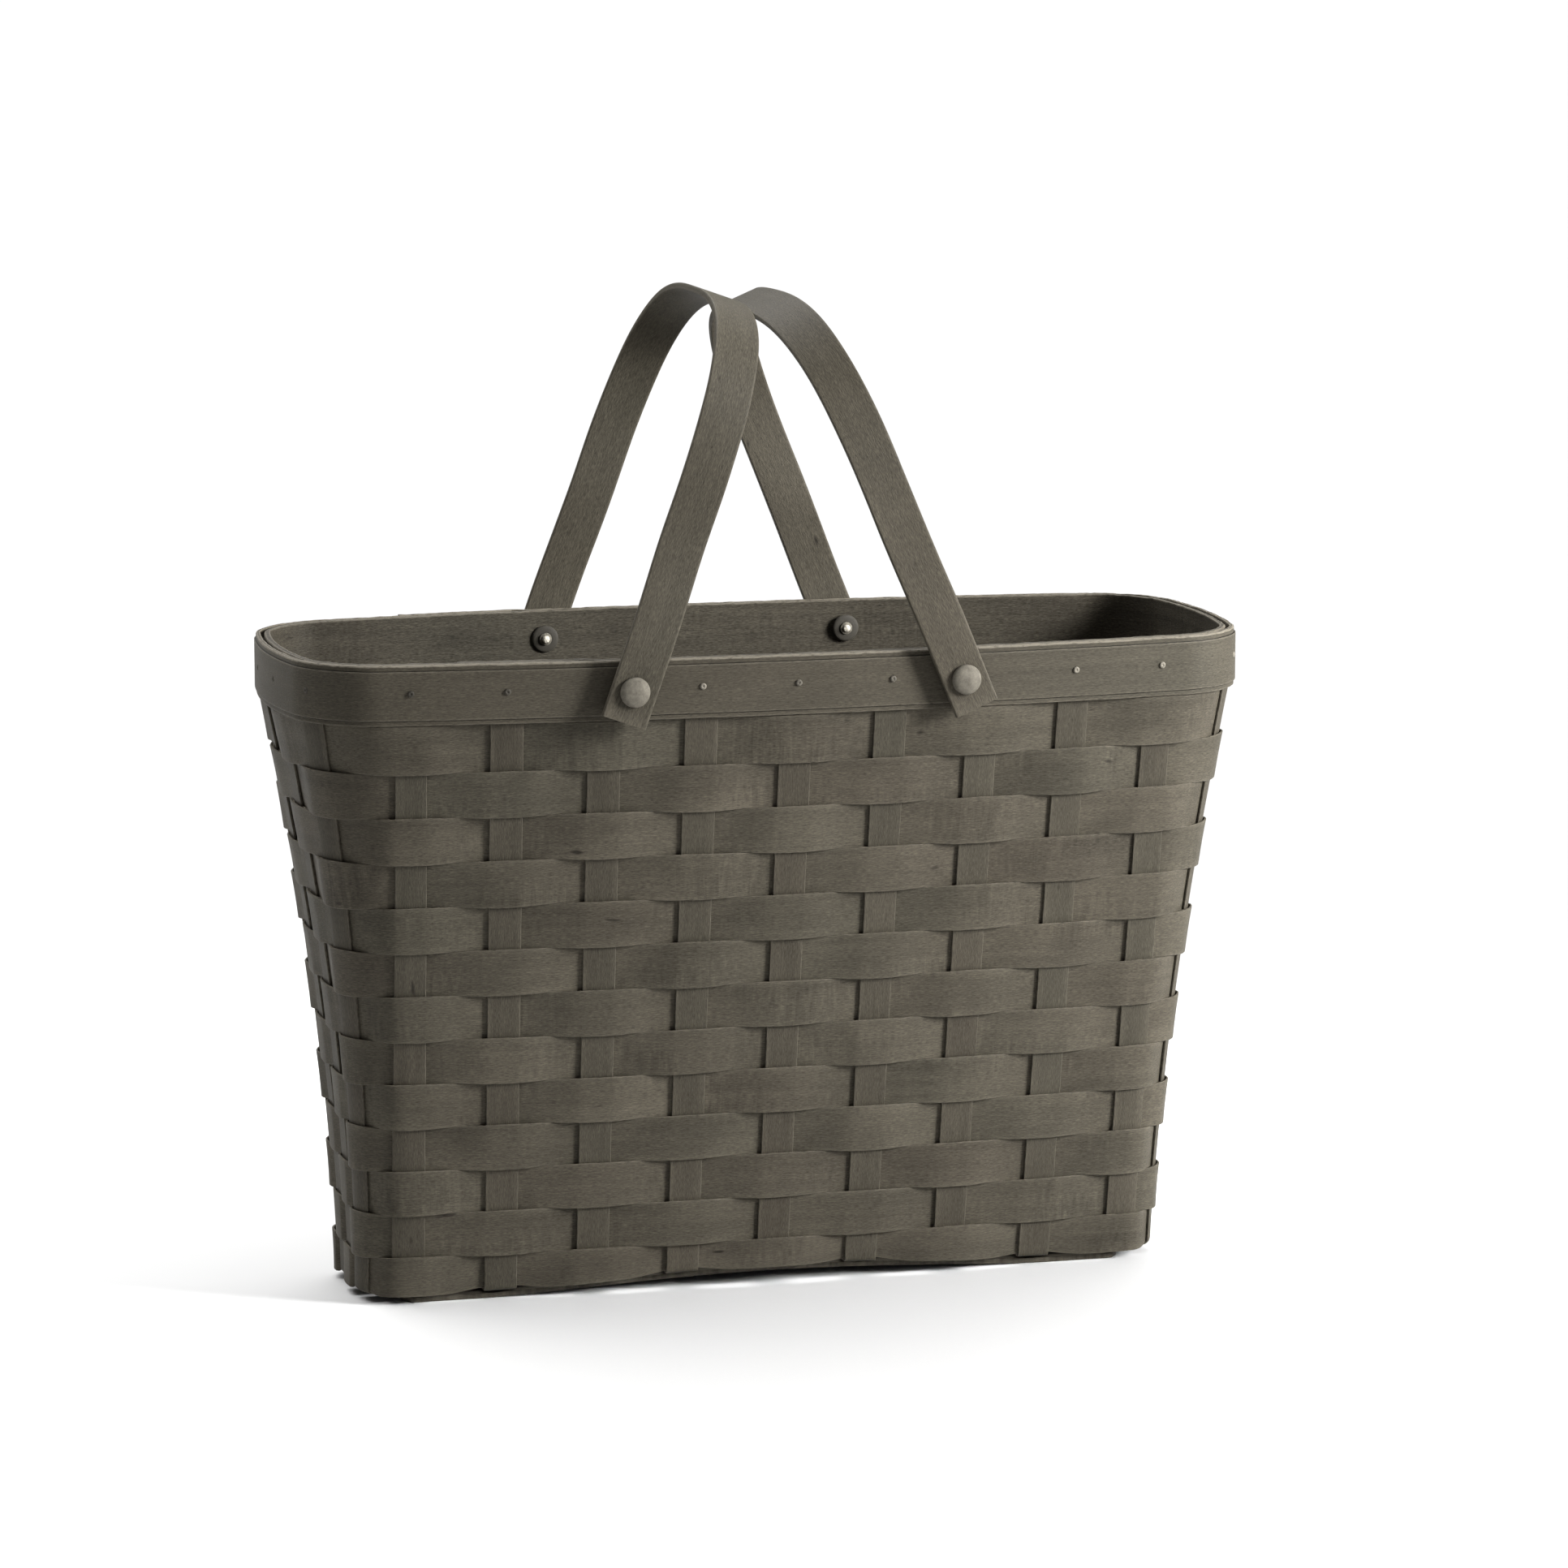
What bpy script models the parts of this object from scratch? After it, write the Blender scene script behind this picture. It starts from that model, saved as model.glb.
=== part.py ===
# Tote basket woven from flat wood splints, with two swing handles riveted to its rim.
# Metres, +Z up. X runs along the length, the front faces -Y, and the origin is the middle
# of the footprint, on the surface that the basket stands on.

import math

import bmesh
import bpy
from mathutils import Matrix, Vector

OBJECT_NAME = "tote_basket"

# Plan of the walls at the foot and at the rim, measured to the middle of the upright splints
BASE_HALF_LENGTH = 0.2035
RIM_HALF_LENGTH = 0.2375
BASE_HALF_DEPTH = 0.0455
RIM_HALF_DEPTH = 0.0942
BASE_CORNER_RADIUS = 0.020
RIM_CORNER_RADIUS = 0.034
BASE_SIDE_BOW = 0.0064
RIM_SIDE_BOW = 0.013
BOW_REACH = 0.200
RIM_END_BOW = 0.0105
END_BOW_POWER = 8
END_FLARE_POWER = 1.75

# Weavers: the flat splints that run round the basket, one closed hoop for each row
ROWS = 13
ROW_PITCH = 0.0222
ROW_BASE = 0.0018
ROW_GAP = 0.0003
WEAVER_THICKNESS = 0.0010
WEAVE_GAP = 0.0004
BRICK_FLARE = 0.0009
BRICK_BULGE = 0.0004
WEAVE_MARGIN = 0.0003

# Upright splints: cross stakes run front to back under the basket, long stakes end to end
CROSS_STAKES = 9
LONG_STAKES = 4
STAKE_WIDTH = 0.016
STAKE_THICKNESS = 0.0012
BASE_CORNER_INSET = 0.0219
RIM_CORNER_INSET = 0.0495
BASE_END_INSET = 0.0155
RIM_END_INSET = 0.0207
STAKE_TOP_SETBACK = 0.0042
CREASE_RADIUS = 0.0020
TUCK_GAP = 0.0012
BENT_ROWS = 2

# Clearance between pieces that touch on the real basket
SEAT_GAP = 0.0003

# Bottom board, set in from the foot of the walls and arched up between two flat ends
BOARD_END_SETBACK = 0.0200
BOARD_SIDE_SETBACK = 0.0070
BOARD_THICKNESS = 0.0026
BOARD_RISE = 0.0050
BOARD_STEPS = 12
BOARD_CORNER_RADIUS = 0.006
BOARD_CORNER_SEGMENTS = 2

# Rim hoops: two bent strips that clamp the tops of the uprights, each lapped over itself
HOOP_HEIGHT = 0.0290
HOOP_CLEARANCE = 0.0008
OUTER_HOOP_THICKNESS = 0.0031
INNER_HOOP_THICKNESS = 0.0030
HOOP_EDGE_STEP = 0.0008
HOOP_TOP_LIP = 0.0030
HOOP_FOOT_LIP = 0.0025
HOOP_LAP = 0.058
HOOP_LAP_RAMP = 0.012
OUTER_LAP_SETBACK = 0.016
INNER_LAP_SETBACK = 0.024
HOOP_SIDE_STEPS = 5
HOOP_CORNER_STEPS = 8
HOOP_END_STEPS = 3

# Handles: steam-bent strips outside the rim, and the pivots they swing on
HANDLE_WIDTH = 0.0225
HANDLE_THICKNESS = 0.0032
HANDLE_STANDOFF = 0.0039
HANDLE_LEG_DRAW_IN = 0.0050
HANDLE_RISE = 0.1900
HANDLE_LEG_RISE = 0.0855
HANDLE_FOOT_RISE = 0.0160
HANDLE_TAIL = 0.0155
HANDLE_ARCH_POWER = 2.9
HANDLE_ARCH_STEPS = 12
PIVOT_STAKES_OUT = 2
PIVOT_INSET = 0.012
PIVOT_ABOVE_HOOP_FOOT = 0.0147
BACK_RIGHT_SETBACK = 0.0075
LEFT_LEAN = math.radians(19.8)
CROWN_GAP = 0.0008

# Pivot rivets and the washers that they are peened over
RIVET_HEAD_RADIUS = 0.0073
RIVET_HEAD_EDGE = 0.0010
RIVET_HEAD_CROWN = 0.0024
RIVET_SHANK_RADIUS = 0.0022
RIVET_CLEARANCE = 0.0004
RIVET_PEEN_RADIUS = 0.0032
RIVET_PEEN_LENGTH = 0.0020
RIVET_STEPS = 12
WASHER_RADIUS = 0.0068
WASHER_THICKNESS = 0.0012
WASHER_DISH = 0.0004
WASHER_STANDOFF = 0.0007
CROWN_SEGMENTS = 3

# Tacks through the rim, and through the bottom board into the cross stakes
TACK_HEAD_RADIUS = 0.0016
TACK_HEAD_HEIGHT = 0.0006
TACK_SHANK_RADIUS = 0.0007
TACK_CLEARANCE = 0.0003
TACK_BITE = 0.0015
TACK_STEPS = 6
TACK_ABOVE_HOOP_FOOT = 0.0155
BOARD_TACK_STAKES = (1, 5, 9)
BOARD_TACK_INSET = 0.0040
BOARD_TACK_SINK = 0.0003
BOARD_TACK_PROUD = 0.0008

# Cutters run past what they cut by this much, and slopes are probed over this step
OVERRUN = 0.004
PROBE = 0.0005
MERGE = 0.00001

# Places that follow from the sizes above
UPRIGHTS = 2 * (CROSS_STAKES + LONG_STAKES)
MIDDLE_STAKE = (CROSS_STAKES + 1) // 2
SIDE_GAPS = (CROSS_STAKES - 1) / 2
END_GAPS = (LONG_STAKES - 1) / 2
SIDE_PITCH_BASE = (BASE_HALF_LENGTH - BASE_CORNER_INSET) / SIDE_GAPS
SIDE_PITCH_RIM = (RIM_HALF_LENGTH - RIM_CORNER_INSET) / SIDE_GAPS
END_PITCH_BASE = (BASE_HALF_DEPTH - BASE_END_INSET) / END_GAPS
END_PITCH_RIM = (RIM_HALF_DEPTH - RIM_END_INSET) / END_GAPS
BOARD_HALF_LENGTH = BASE_HALF_LENGTH - BOARD_END_SETBACK
BOARD_HALF_DEPTH = BASE_HALF_DEPTH - BOARD_SIDE_SETBACK
WALL_TOP = ROW_BASE + ROWS * ROW_PITCH
HOOP_FOOT = WALL_TOP + BRICK_FLARE + HOOP_CLEARANCE
HOOP_TOP = HOOP_FOOT + HOOP_HEIGHT
STAKE_TOP = HOOP_TOP - STAKE_TOP_SETBACK
PIVOT_Z = HOOP_FOOT + PIVOT_ABOVE_HOOP_FOOT
TACK_Z = HOOP_FOOT + TACK_ABOVE_HOOP_FOOT
WEAVE_OFFSET = (STAKE_THICKNESS + WEAVER_THICKNESS) / 2 + WEAVE_GAP
FLOOR_WAVE = STAKE_THICKNESS + SEAT_GAP
FLOOR_LEVEL = BOARD_THICKNESS + SEAT_GAP + STAKE_THICKNESS / 2 + FLOOR_WAVE
HOOP_SEAT = STAKE_THICKNESS / 2 + SEAT_GAP
OUTER_FACE = HOOP_SEAT + OUTER_HOOP_THICKNESS
INNER_FACE = HOOP_SEAT + INNER_HOOP_THICKNESS
PIVOT_HALF_SPACING = PIVOT_STAKES_OUT * SIDE_PITCH_RIM - PIVOT_INSET
PIVOT_BOW = RIM_SIDE_BOW * (PIVOT_HALF_SPACING / BOW_REACH) ** 2
HANDLE_FACE = RIM_HALF_DEPTH - PIVOT_BOW + OUTER_FACE + HANDLE_STANDOFF
HANDLE_HALF_SPAN = HANDLE_FACE + HANDLE_THICKNESS / 2
HANDLE_ARCH_HALF_SPAN = HANDLE_HALF_SPAN - HANDLE_LEG_DRAW_IN
OUTER_LAP_X = -PIVOT_HALF_SPACING - OUTER_LAP_SETBACK
INNER_LAP_X = -PIVOT_HALF_SPACING - INNER_LAP_SETBACK

# Stain on the wood, and the finish of the metal
SPLINT_COLOUR = (0.095, 0.083, 0.064, 1.0)
STAKE_COLOUR = (0.082, 0.072, 0.056, 1.0)
HOOP_COLOUR = (0.088, 0.077, 0.060, 1.0)
HANDLE_COLOUR = (0.092, 0.080, 0.062, 1.0)
BOARD_COLOUR = (0.075, 0.065, 0.050, 1.0)
RIVET_COLOUR = (0.300, 0.280, 0.240, 1.0)
WASHER_COLOUR = (0.045, 0.042, 0.038, 1.0)
TACK_COLOUR = (0.450, 0.430, 0.380, 1.0)
WOOD_ROUGHNESS = 0.62
METAL_ROUGHNESS = 0.38


def clear_scene():
    for item in list(bpy.data.objects):
        bpy.data.objects.remove(item, do_unlink=True)


def new_collection(name):
    collection = bpy.data.collections.new(name)
    bpy.context.scene.collection.children.link(collection)
    return collection


def new_material(name, colour, roughness, metallic):
    material = bpy.data.materials.new(name)
    material.use_nodes = True
    shader = material.node_tree.nodes["Principled BSDF"]
    shader.inputs["Base Color"].default_value = colour
    shader.inputs["Roughness"].default_value = roughness
    shader.inputs["Metallic"].default_value = metallic
    material.diffuse_color = colour
    return material


def new_object(name, data, material, collection):
    item = bpy.data.objects.new(name, data)
    data.materials.append(material)
    collection.objects.link(item)
    return item


# Shape of the walls

def rise_share(z):
    """How far up the flaring wall a height is, from 0 at the ground to 1 under the rim."""
    return min(max(z / WALL_TOP, 0.0), 1.0)


def between(low, high, share):
    return low + (high - low) * share


def half_length(z):
    return between(BASE_HALF_LENGTH, RIM_HALF_LENGTH, rise_share(z) ** END_FLARE_POWER)


def half_depth(z):
    return between(BASE_HALF_DEPTH, RIM_HALF_DEPTH, rise_share(z))


def corner_radius(z):
    return between(BASE_CORNER_RADIUS, RIM_CORNER_RADIUS, rise_share(z))


def side_bow(z):
    return between(BASE_SIDE_BOW, RIM_SIDE_BOW, rise_share(z))


def end_bow(z):
    return RIM_END_BOW * rise_share(z) ** END_FLARE_POWER


def side_run(z):
    """Length of the straight stretch from the front middle to the corner."""
    return half_length(z) - corner_radius(z)


def quarter_run(z):
    """Length of the plan line from the front middle round to the right end's middle."""
    return side_run(z) + corner_radius(z) * math.pi / 2 + half_depth(z) - corner_radius(z)


def quarter_point(z, run):
    """Point of the plan line at a run from the front middle, as positive x and y."""
    radius = corner_radius(z)
    past_side = run - side_run(z)
    if past_side <= 0:
        x, y = run, half_depth(z)
    elif past_side <= radius * math.pi / 2:
        turn = past_side / radius
        x = side_run(z) + radius * math.sin(turn)
        y = half_depth(z) - radius + radius * math.cos(turn)
    else:
        x, y = half_length(z), quarter_run(z) - run
    draw_in = side_bow(z) / half_depth(z) * (x / BOW_REACH) ** 2
    toward_end = (x / half_length(z)) ** END_BOW_POWER
    round_off = end_bow(z) * toward_end * (y / half_depth(z)) ** 2
    return x - round_off, y * (1 - draw_in)


def plan_point(z, run):
    """Point of the whole plan line, measured anticlockwise from the front middle."""
    quarter = quarter_run(z)
    quadrant, along = divmod(run % (4 * quarter), quarter)
    back_run = quadrant in (1, 3)
    x, y = quarter_point(z, quarter - along if back_run else along)
    sign_x = 1 if quadrant in (0, 1) else -1
    sign_y = 1 if quadrant in (1, 2) else -1
    return sign_x * x, sign_y * y


def wall_normal(z, run):
    """Level direction that points out of the wall."""
    x0, y0 = plan_point(z, run - PROBE)
    x1, y1 = plan_point(z, run + PROBE)
    return Vector((y1 - y0, x0 - x1, 0)).normalized()


def wall_point(z, run, offset=0.0):
    x, y = plan_point(z, run)
    return Vector((x, y, z)) + wall_normal(z, run) * offset


def floor_rise(x):
    """How far the board and the woven floor arch up above their flat ends."""
    reach = BOARD_HALF_LENGTH * (1 - 2 / BOARD_STEPS)
    share = min(abs(x) / reach, 1.0)
    return BOARD_RISE * (1 - share ** 2) ** 2


def floor_level(x):
    return FLOOR_LEVEL + floor_rise(x)


# Places of the uprights round the basket

def side_pitch(z):
    return between(SIDE_PITCH_BASE, SIDE_PITCH_RIM, rise_share(z))


def end_pitch(z):
    return between(END_PITCH_BASE, END_PITCH_RIM, rise_share(z))


def centred_steps(count, gaps):
    return [number - gaps for number in range(count)]


def upright_runs(z):
    """Runs of the uprights' middles: front, right end, back and left end, in one round."""
    quarter = quarter_run(z)
    side = [step * side_pitch(z) for step in centred_steps(CROSS_STAKES, SIDE_GAPS)]
    end = [step * end_pitch(z) for step in centred_steps(LONG_STAKES, END_GAPS)]
    runs = list(side)
    runs += [quarter + step for step in end]
    runs += [2 * quarter + step for step in side]
    runs += [3 * quarter + step for step in end]
    return runs


def gap_run(z, upright, share):
    """Run at a share of the gap between an upright and the next one."""
    runs = upright_runs(z)
    reach = STAKE_WIDTH / 2 + WEAVE_MARGIN
    start = runs[upright] + reach
    if upright + 1 < UPRIGHTS:
        stop = runs[upright + 1] - reach
    else:
        stop = runs[0] + 4 * quarter_run(z) - reach
    return between(start, stop, share)


def edge_run(z, upright, side):
    return upright_runs(z)[upright] + side * STAKE_WIDTH / 2


# Strips and turned pieces

def strip_mesh(name, rows, closed):
    """Open sheet drawn across matching rows of points."""
    sheet = bmesh.new()
    line = [sheet.verts.new(point) for point in rows[0]]
    edges = [sheet.edges.new(pair) for pair in zip(line, line[1:])]
    if closed:
        edges.append(sheet.edges.new((line[-1], line[0])))
    for row in rows[1:]:
        place = {vert: row[number] for number, vert in enumerate(line)}
        grown = bmesh.ops.extrude_edge_only(sheet, edges=edges)["geom"]
        edges = [item for item in grown if isinstance(item, bmesh.types.BMEdge)
                 and not any(vert in place for vert in item.verts)]
        partner = {}
        for vert in [item for item in grown if isinstance(item, bmesh.types.BMVert)]:
            source = next(edge.other_vert(vert) for edge in vert.link_edges
                          if edge.other_vert(vert) in place)
            vert.co = place[source]
            partner[source] = vert
        line = [partner[vert] for vert in line]
    bmesh.ops.recalc_face_normals(sheet, faces=sheet.faces)
    mesh = bpy.data.meshes.new(name)
    sheet.to_mesh(mesh)
    sheet.free()
    return mesh


def add_thickness(item, thickness, offset=0.0):
    solid = item.modifiers.new("thickness", "SOLIDIFY")
    solid.thickness = thickness
    solid.offset = offset
    solid.use_even_offset = True


def turned_mesh(name, profile, steps):
    """Closed round body from a profile of (radius, height) points, top to bottom."""
    line = bmesh.new()
    points = [line.verts.new((radius, 0, height)) for radius, height in profile]
    for pair in zip(points, points[1:]):
        line.edges.new(pair)
    if profile[0][0] > 0:
        line.edges.new((points[-1], points[0]))
    mesh = bpy.data.meshes.new(name)
    line.to_mesh(mesh)
    line.free()
    guide = bpy.data.objects.new(name, mesh)
    bpy.context.scene.collection.objects.link(guide)
    turn = guide.modifiers.new("turn", "SCREW")
    turn.steps = steps
    turn.render_steps = steps
    turn.use_merge_vertices = True
    turn.merge_threshold = MERGE
    bpy.context.view_layer.update()
    shape = guide.evaluated_get(bpy.context.evaluated_depsgraph_get())
    turned = bpy.data.meshes.new_from_object(shape)
    turned.name = name
    bpy.data.objects.remove(guide, do_unlink=True)
    return turned


def group_mesh(name, single, places):
    """Copies of one mesh at several places, as one mesh."""
    group = bmesh.new()
    for place in places:
        copy = single.copy()
        copy.transform(place)
        group.from_mesh(copy)
        bpy.data.meshes.remove(copy)
    mesh = bpy.data.meshes.new(name)
    group.to_mesh(mesh)
    group.free()
    return mesh


def pin_cutter(name, radius, length, places, steps, collection):
    """Round pins that drill holes; each lies along the local Z of its place."""
    pins = bmesh.new()
    for place in places:
        bmesh.ops.create_cone(pins, cap_ends=True, segments=steps, radius1=radius,
                              radius2=radius, depth=length, matrix=place)
    mesh = bpy.data.meshes.new(name)
    pins.to_mesh(mesh)
    pins.free()
    cutter = bpy.data.objects.new(name, mesh)
    collection.objects.link(cutter)
    cutter.hide_render = True
    cutter.display_type = "WIRE"
    return cutter


def cut(item, cutter):
    hole = item.modifiers.new("holes", "BOOLEAN")
    hole.operation = "DIFFERENCE"
    hole.solver = "EXACT"
    hole.object = cutter


def join(item, tool):
    union = item.modifiers.new("joined", "BOOLEAN")
    union.operation = "UNION"
    union.solver = "EXACT"
    union.object = tool


def outward_place(point, normal):
    """Placement whose local Z points along the normal."""
    turn = normal.to_track_quat("Z", "Y").to_matrix().to_4x4()
    return Matrix.Translation(point) @ turn


# Woven pieces

def weave_side(row, upright):
    """1 where the row's weaver passes outside the upright, -1 where it passes inside."""
    return 1 if (row + upright) % 2 else -1


def is_corner_gap(upright):
    side_end = upright in (CROSS_STAKES - 1, 2 * CROSS_STAKES + LONG_STAKES - 1)
    end_end = upright in (CROSS_STAKES + LONG_STAKES - 1, UPRIGHTS - 1)
    return side_end or end_end


def is_end_upright(upright):
    right_end = CROSS_STAKES <= upright < CROSS_STAKES + LONG_STAKES
    return right_end or upright >= UPRIGHTS - LONG_STAKES


def weaver_foot(row, side, x, flare):
    """Lower edge of a weaver; the lowest row follows the arched floor and clears it inside."""
    foot = WALL_TOP - row * ROW_PITCH + ROW_GAP / 2
    if row == ROWS:
        tucked = FLOOR_LEVEL + STAKE_THICKNESS / 2 + TUCK_GAP
        foot = between(foot, tucked, max(-side, 0.0)) + floor_rise(x)
    return foot - flare


def weaver_head(row, flare):
    return WALL_TOP - (row - 1) * ROW_PITCH - ROW_GAP / 2 + flare


def is_bent(upright):
    """Whether an upright stands beside a corner, where the wall bends it."""
    return is_corner_gap(upright) or is_corner_gap((upright - 1) % UPRIGHTS)


def weave_marks(row):
    """Stations of a weaver as (upright, share of the gap after it, side, crown). The share is
    None at the middle of an upright, and the crown is 1 where the weaver bows out over it."""
    marks = []
    for upright in range(UPRIGHTS):
        side = weave_side(row, upright)
        if side > 0 or is_bent(upright):
            marks.append((upright, None, side, max(side, 0)))
        marks.append((upright, 0.0, side, 0))
        if is_corner_gap(upright):
            marks.append((upright, 0.5, 0, 0))
        marks.append((upright, 1.0, -side, 0))
    return marks


def mark_run(z, upright, share):
    return upright_runs(z)[upright] if share is None else gap_run(z, upright, share)


def make_weaver(row, material, collection):
    foot_edge = []
    head_edge = []
    for upright, share, side, crown in weave_marks(row):
        nominal = WALL_TOP - row * ROW_PITCH
        near = plan_point(nominal, mark_run(nominal, upright, share))
        foot = weaver_foot(row, side, near[0], crown * BRICK_FLARE)
        head = weaver_head(row, crown * BRICK_FLARE)
        offset = side * WEAVE_OFFSET + crown * BRICK_BULGE
        foot_edge.append(wall_point(foot, mark_run(foot, upright, share), offset))
        head_edge.append(wall_point(head, mark_run(head, upright, share), offset))
    name = f"weaver_{row:02d}"
    mesh = strip_mesh(name, (foot_edge, head_edge), True)
    weaver = new_object(name, mesh, material, collection)
    add_thickness(weaver, WEAVER_THICKNESS)
    return weaver


def wall_levels(crease, bent):
    """Heights at which an upright is drawn, from its top down to the crease at the floor. The
    long sides slope evenly, and only an upright that the wall bends needs heights between."""
    rows = [WALL_TOP - row * ROW_PITCH for row in range(BENT_ROWS, ROWS, BENT_ROWS)]
    between_rows = rows if bent else []
    return [STAKE_TOP, WALL_TOP] + between_rows + [crease]


def crease_points(start, inward):
    """Bend from the foot of the wall to the floor, after its first point."""
    points = []
    for turn in (math.pi / 4, math.pi / 2):
        run_in = inward * CREASE_RADIUS * (1 - math.cos(turn))
        drop = Vector((0, 0, -CREASE_RADIUS * math.sin(turn)))
        points.append(start + run_in + drop)
    return points


def wall_line(upright, side, crease):
    bent = is_bent(upright) or is_end_upright(upright)
    return [wall_point(z, edge_run(z, upright, side)) for z in wall_levels(crease, bent)]


def cross_stake_line(number, side):
    """One line along a cross stake, from the front rim under the floor to the back rim."""
    front = number - 1
    back = 2 * CROSS_STAKES + LONG_STAKES - number
    foot = wall_point(FLOOR_LEVEL, edge_run(FLOOR_LEVEL, front, side))
    crease = floor_level(foot.x) + CREASE_RADIUS
    down = wall_line(front, side, crease)
    down += crease_points(down[-1], Vector((0, 1, 0)))
    up = wall_line(back, -side, crease)
    up += crease_points(up[-1], Vector((0, -1, 0)))
    return down + up[::-1]


def cross_stake_x(number):
    return (number - MIDDLE_STAKE) * SIDE_PITCH_BASE


def long_stake_line(number, side):
    """One line along a long stake, from the right rim through the woven floor to the left."""
    right = CROSS_STAKES + number - 1
    left = UPRIGHTS - number
    crease = FLOOR_LEVEL + CREASE_RADIUS
    down = wall_line(right, side, crease)
    down += crease_points(down[-1], Vector((-1, 0, 0)))
    y = down[-1].y
    floor = []
    for stake in range(CROSS_STAKES, 0, -1):
        wave = FLOOR_WAVE if (stake + number) % 2 else -FLOOR_WAVE
        for shift in (1, -1):
            x = cross_stake_x(stake) + shift * (STAKE_WIDTH / 2 + WEAVE_MARGIN)
            floor.append(Vector((x, y, floor_level(x) + wave)))
    up = wall_line(left, -side, crease)
    up += crease_points(up[-1], Vector((1, 0, 0)))
    return down + floor + up[::-1]


def make_stakes(material, collection):
    """All uprights; those that turn a corner of the wall have a middle line too."""
    stakes = {}
    for kind, count, line in (("cross_stake", CROSS_STAKES, cross_stake_line),
                              ("long_stake", LONG_STAKES, long_stake_line)):
        for number in range(1, count + 1):
            name = f"{kind}_{number}"
            sides = (-1, 0, 1) if number in (1, count) else (-1, 1)
            mesh = strip_mesh(name, [line(number, side) for side in sides], False)
            stakes[name] = new_object(name, mesh, material, collection)
            add_thickness(stakes[name], STAKE_THICKNESS)
    return stakes


# Rim

def hoop_runs():
    """Runs at which a hoop is drawn, once round from the front middle."""
    z = HOOP_FOOT
    side = side_run(z)
    corner = corner_radius(z) * math.pi / 2
    quarter = quarter_run(z)
    marks = [side * step / HOOP_SIDE_STEPS for step in range(HOOP_SIDE_STEPS)]
    marks += [side + corner * step / HOOP_CORNER_STEPS for step in range(HOOP_CORNER_STEPS)]
    end = quarter - side - corner
    marks += [side + corner + end * step / HOOP_END_STEPS for step in range(HOOP_END_STEPS)]
    marks.append(quarter)
    mirrored = [2 * quarter - mark for mark in reversed(marks[1:-1])]
    half = marks + mirrored
    return half + [2 * quarter + mark for mark in half]


def hoop_path(lap_start, turn, seat, layer):
    """Plan points of a lapped hoop: it starts at lap_start, goes once round and runs on over
    its own start, one layer further from the uprights. Turn is 1 if it goes anticlockwise."""
    total = 4 * quarter_run(HOOP_FOOT)
    stop = lap_start + total + HOOP_LAP
    ramp = lap_start + total - HOOP_LAP_RAMP
    fixed = [lap_start, ramp, lap_start + total - SEAT_GAP, stop]
    runs = [lap * total + run for lap in (-1, 0, 1, 2) for run in hoop_runs()]
    clear = HOOP_LAP_RAMP / 2
    kept = [run for run in runs if lap_start < run < stop
            and min(abs(run - mark) for mark in fixed) > clear]
    points = []
    for run in sorted(kept + fixed):
        shift = seat if run <= ramp else seat + layer
        points.append(wall_point(HOOP_FOOT, turn * run, shift))
    return points


def hoop_profile(thickness, outward):
    """Section of a hoop as (across, up) points; the outer hoop is rebated along both edges."""
    half = thickness / 2
    top = HOOP_HEIGHT
    if not outward:
        return [(-half, 0.0), (half, 0.0), (half, top), (-half, top)]
    step = half - HOOP_EDGE_STEP
    return [(-half, 0.0), (step, 0.0), (step, HOOP_FOOT_LIP), (half, HOOP_FOOT_LIP),
            (half, top - HOOP_TOP_LIP), (step, top - HOOP_TOP_LIP), (step, top), (-half, top)]


def poly_curve(name, points, closed):
    curve = bpy.data.curves.new(name, "CURVE")
    curve.dimensions = "3D"
    spline = curve.splines.new("POLY")
    spline.points.add(len(points) - 1)
    for place, point in zip(spline.points, points):
        place.co = (*point, 1.0)
    spline.use_cyclic_u = closed
    return curve


def make_hoop(name, lap_start, turn, outward, material, collection):
    """Bent strip swept round the rim, as a mesh that can be drilled."""
    thickness = OUTER_HOOP_THICKNESS if outward else INNER_HOOP_THICKNESS
    sense = 1 if outward else -1
    seat = sense * (HOOP_SEAT + thickness / 2)
    layer = sense * (thickness + SEAT_GAP)
    path = hoop_path(lap_start, turn, seat, layer)
    section = [(across * sense, up, 0.0) for across, up in hoop_profile(thickness, outward)]
    guide = bpy.data.objects.new(name + "_section", poly_curve(name + "_section", section, True))
    curve = poly_curve(name, path, False)
    curve.twist_mode = "Z_UP"
    curve.bevel_mode = "OBJECT"
    curve.bevel_object = guide
    curve.use_fill_caps = True
    sweep = bpy.data.objects.new(name + "_sweep", curve)
    for item in (guide, sweep):
        bpy.context.scene.collection.objects.link(item)
    bpy.context.view_layer.update()
    shape = sweep.evaluated_get(bpy.context.evaluated_depsgraph_get())
    mesh = bpy.data.meshes.new_from_object(shape)
    mesh.name = name
    for item in (sweep, guide):
        bpy.data.objects.remove(item, do_unlink=True)
    body = bmesh.new()
    body.from_mesh(mesh)
    bmesh.ops.remove_doubles(body, verts=body.verts, dist=MERGE)
    bmesh.ops.recalc_face_normals(body, faces=body.faces)
    body.to_mesh(mesh)
    body.free()
    mesh.materials.clear()
    return new_object(name, mesh, material, collection)


# Handles and their pivots

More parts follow.
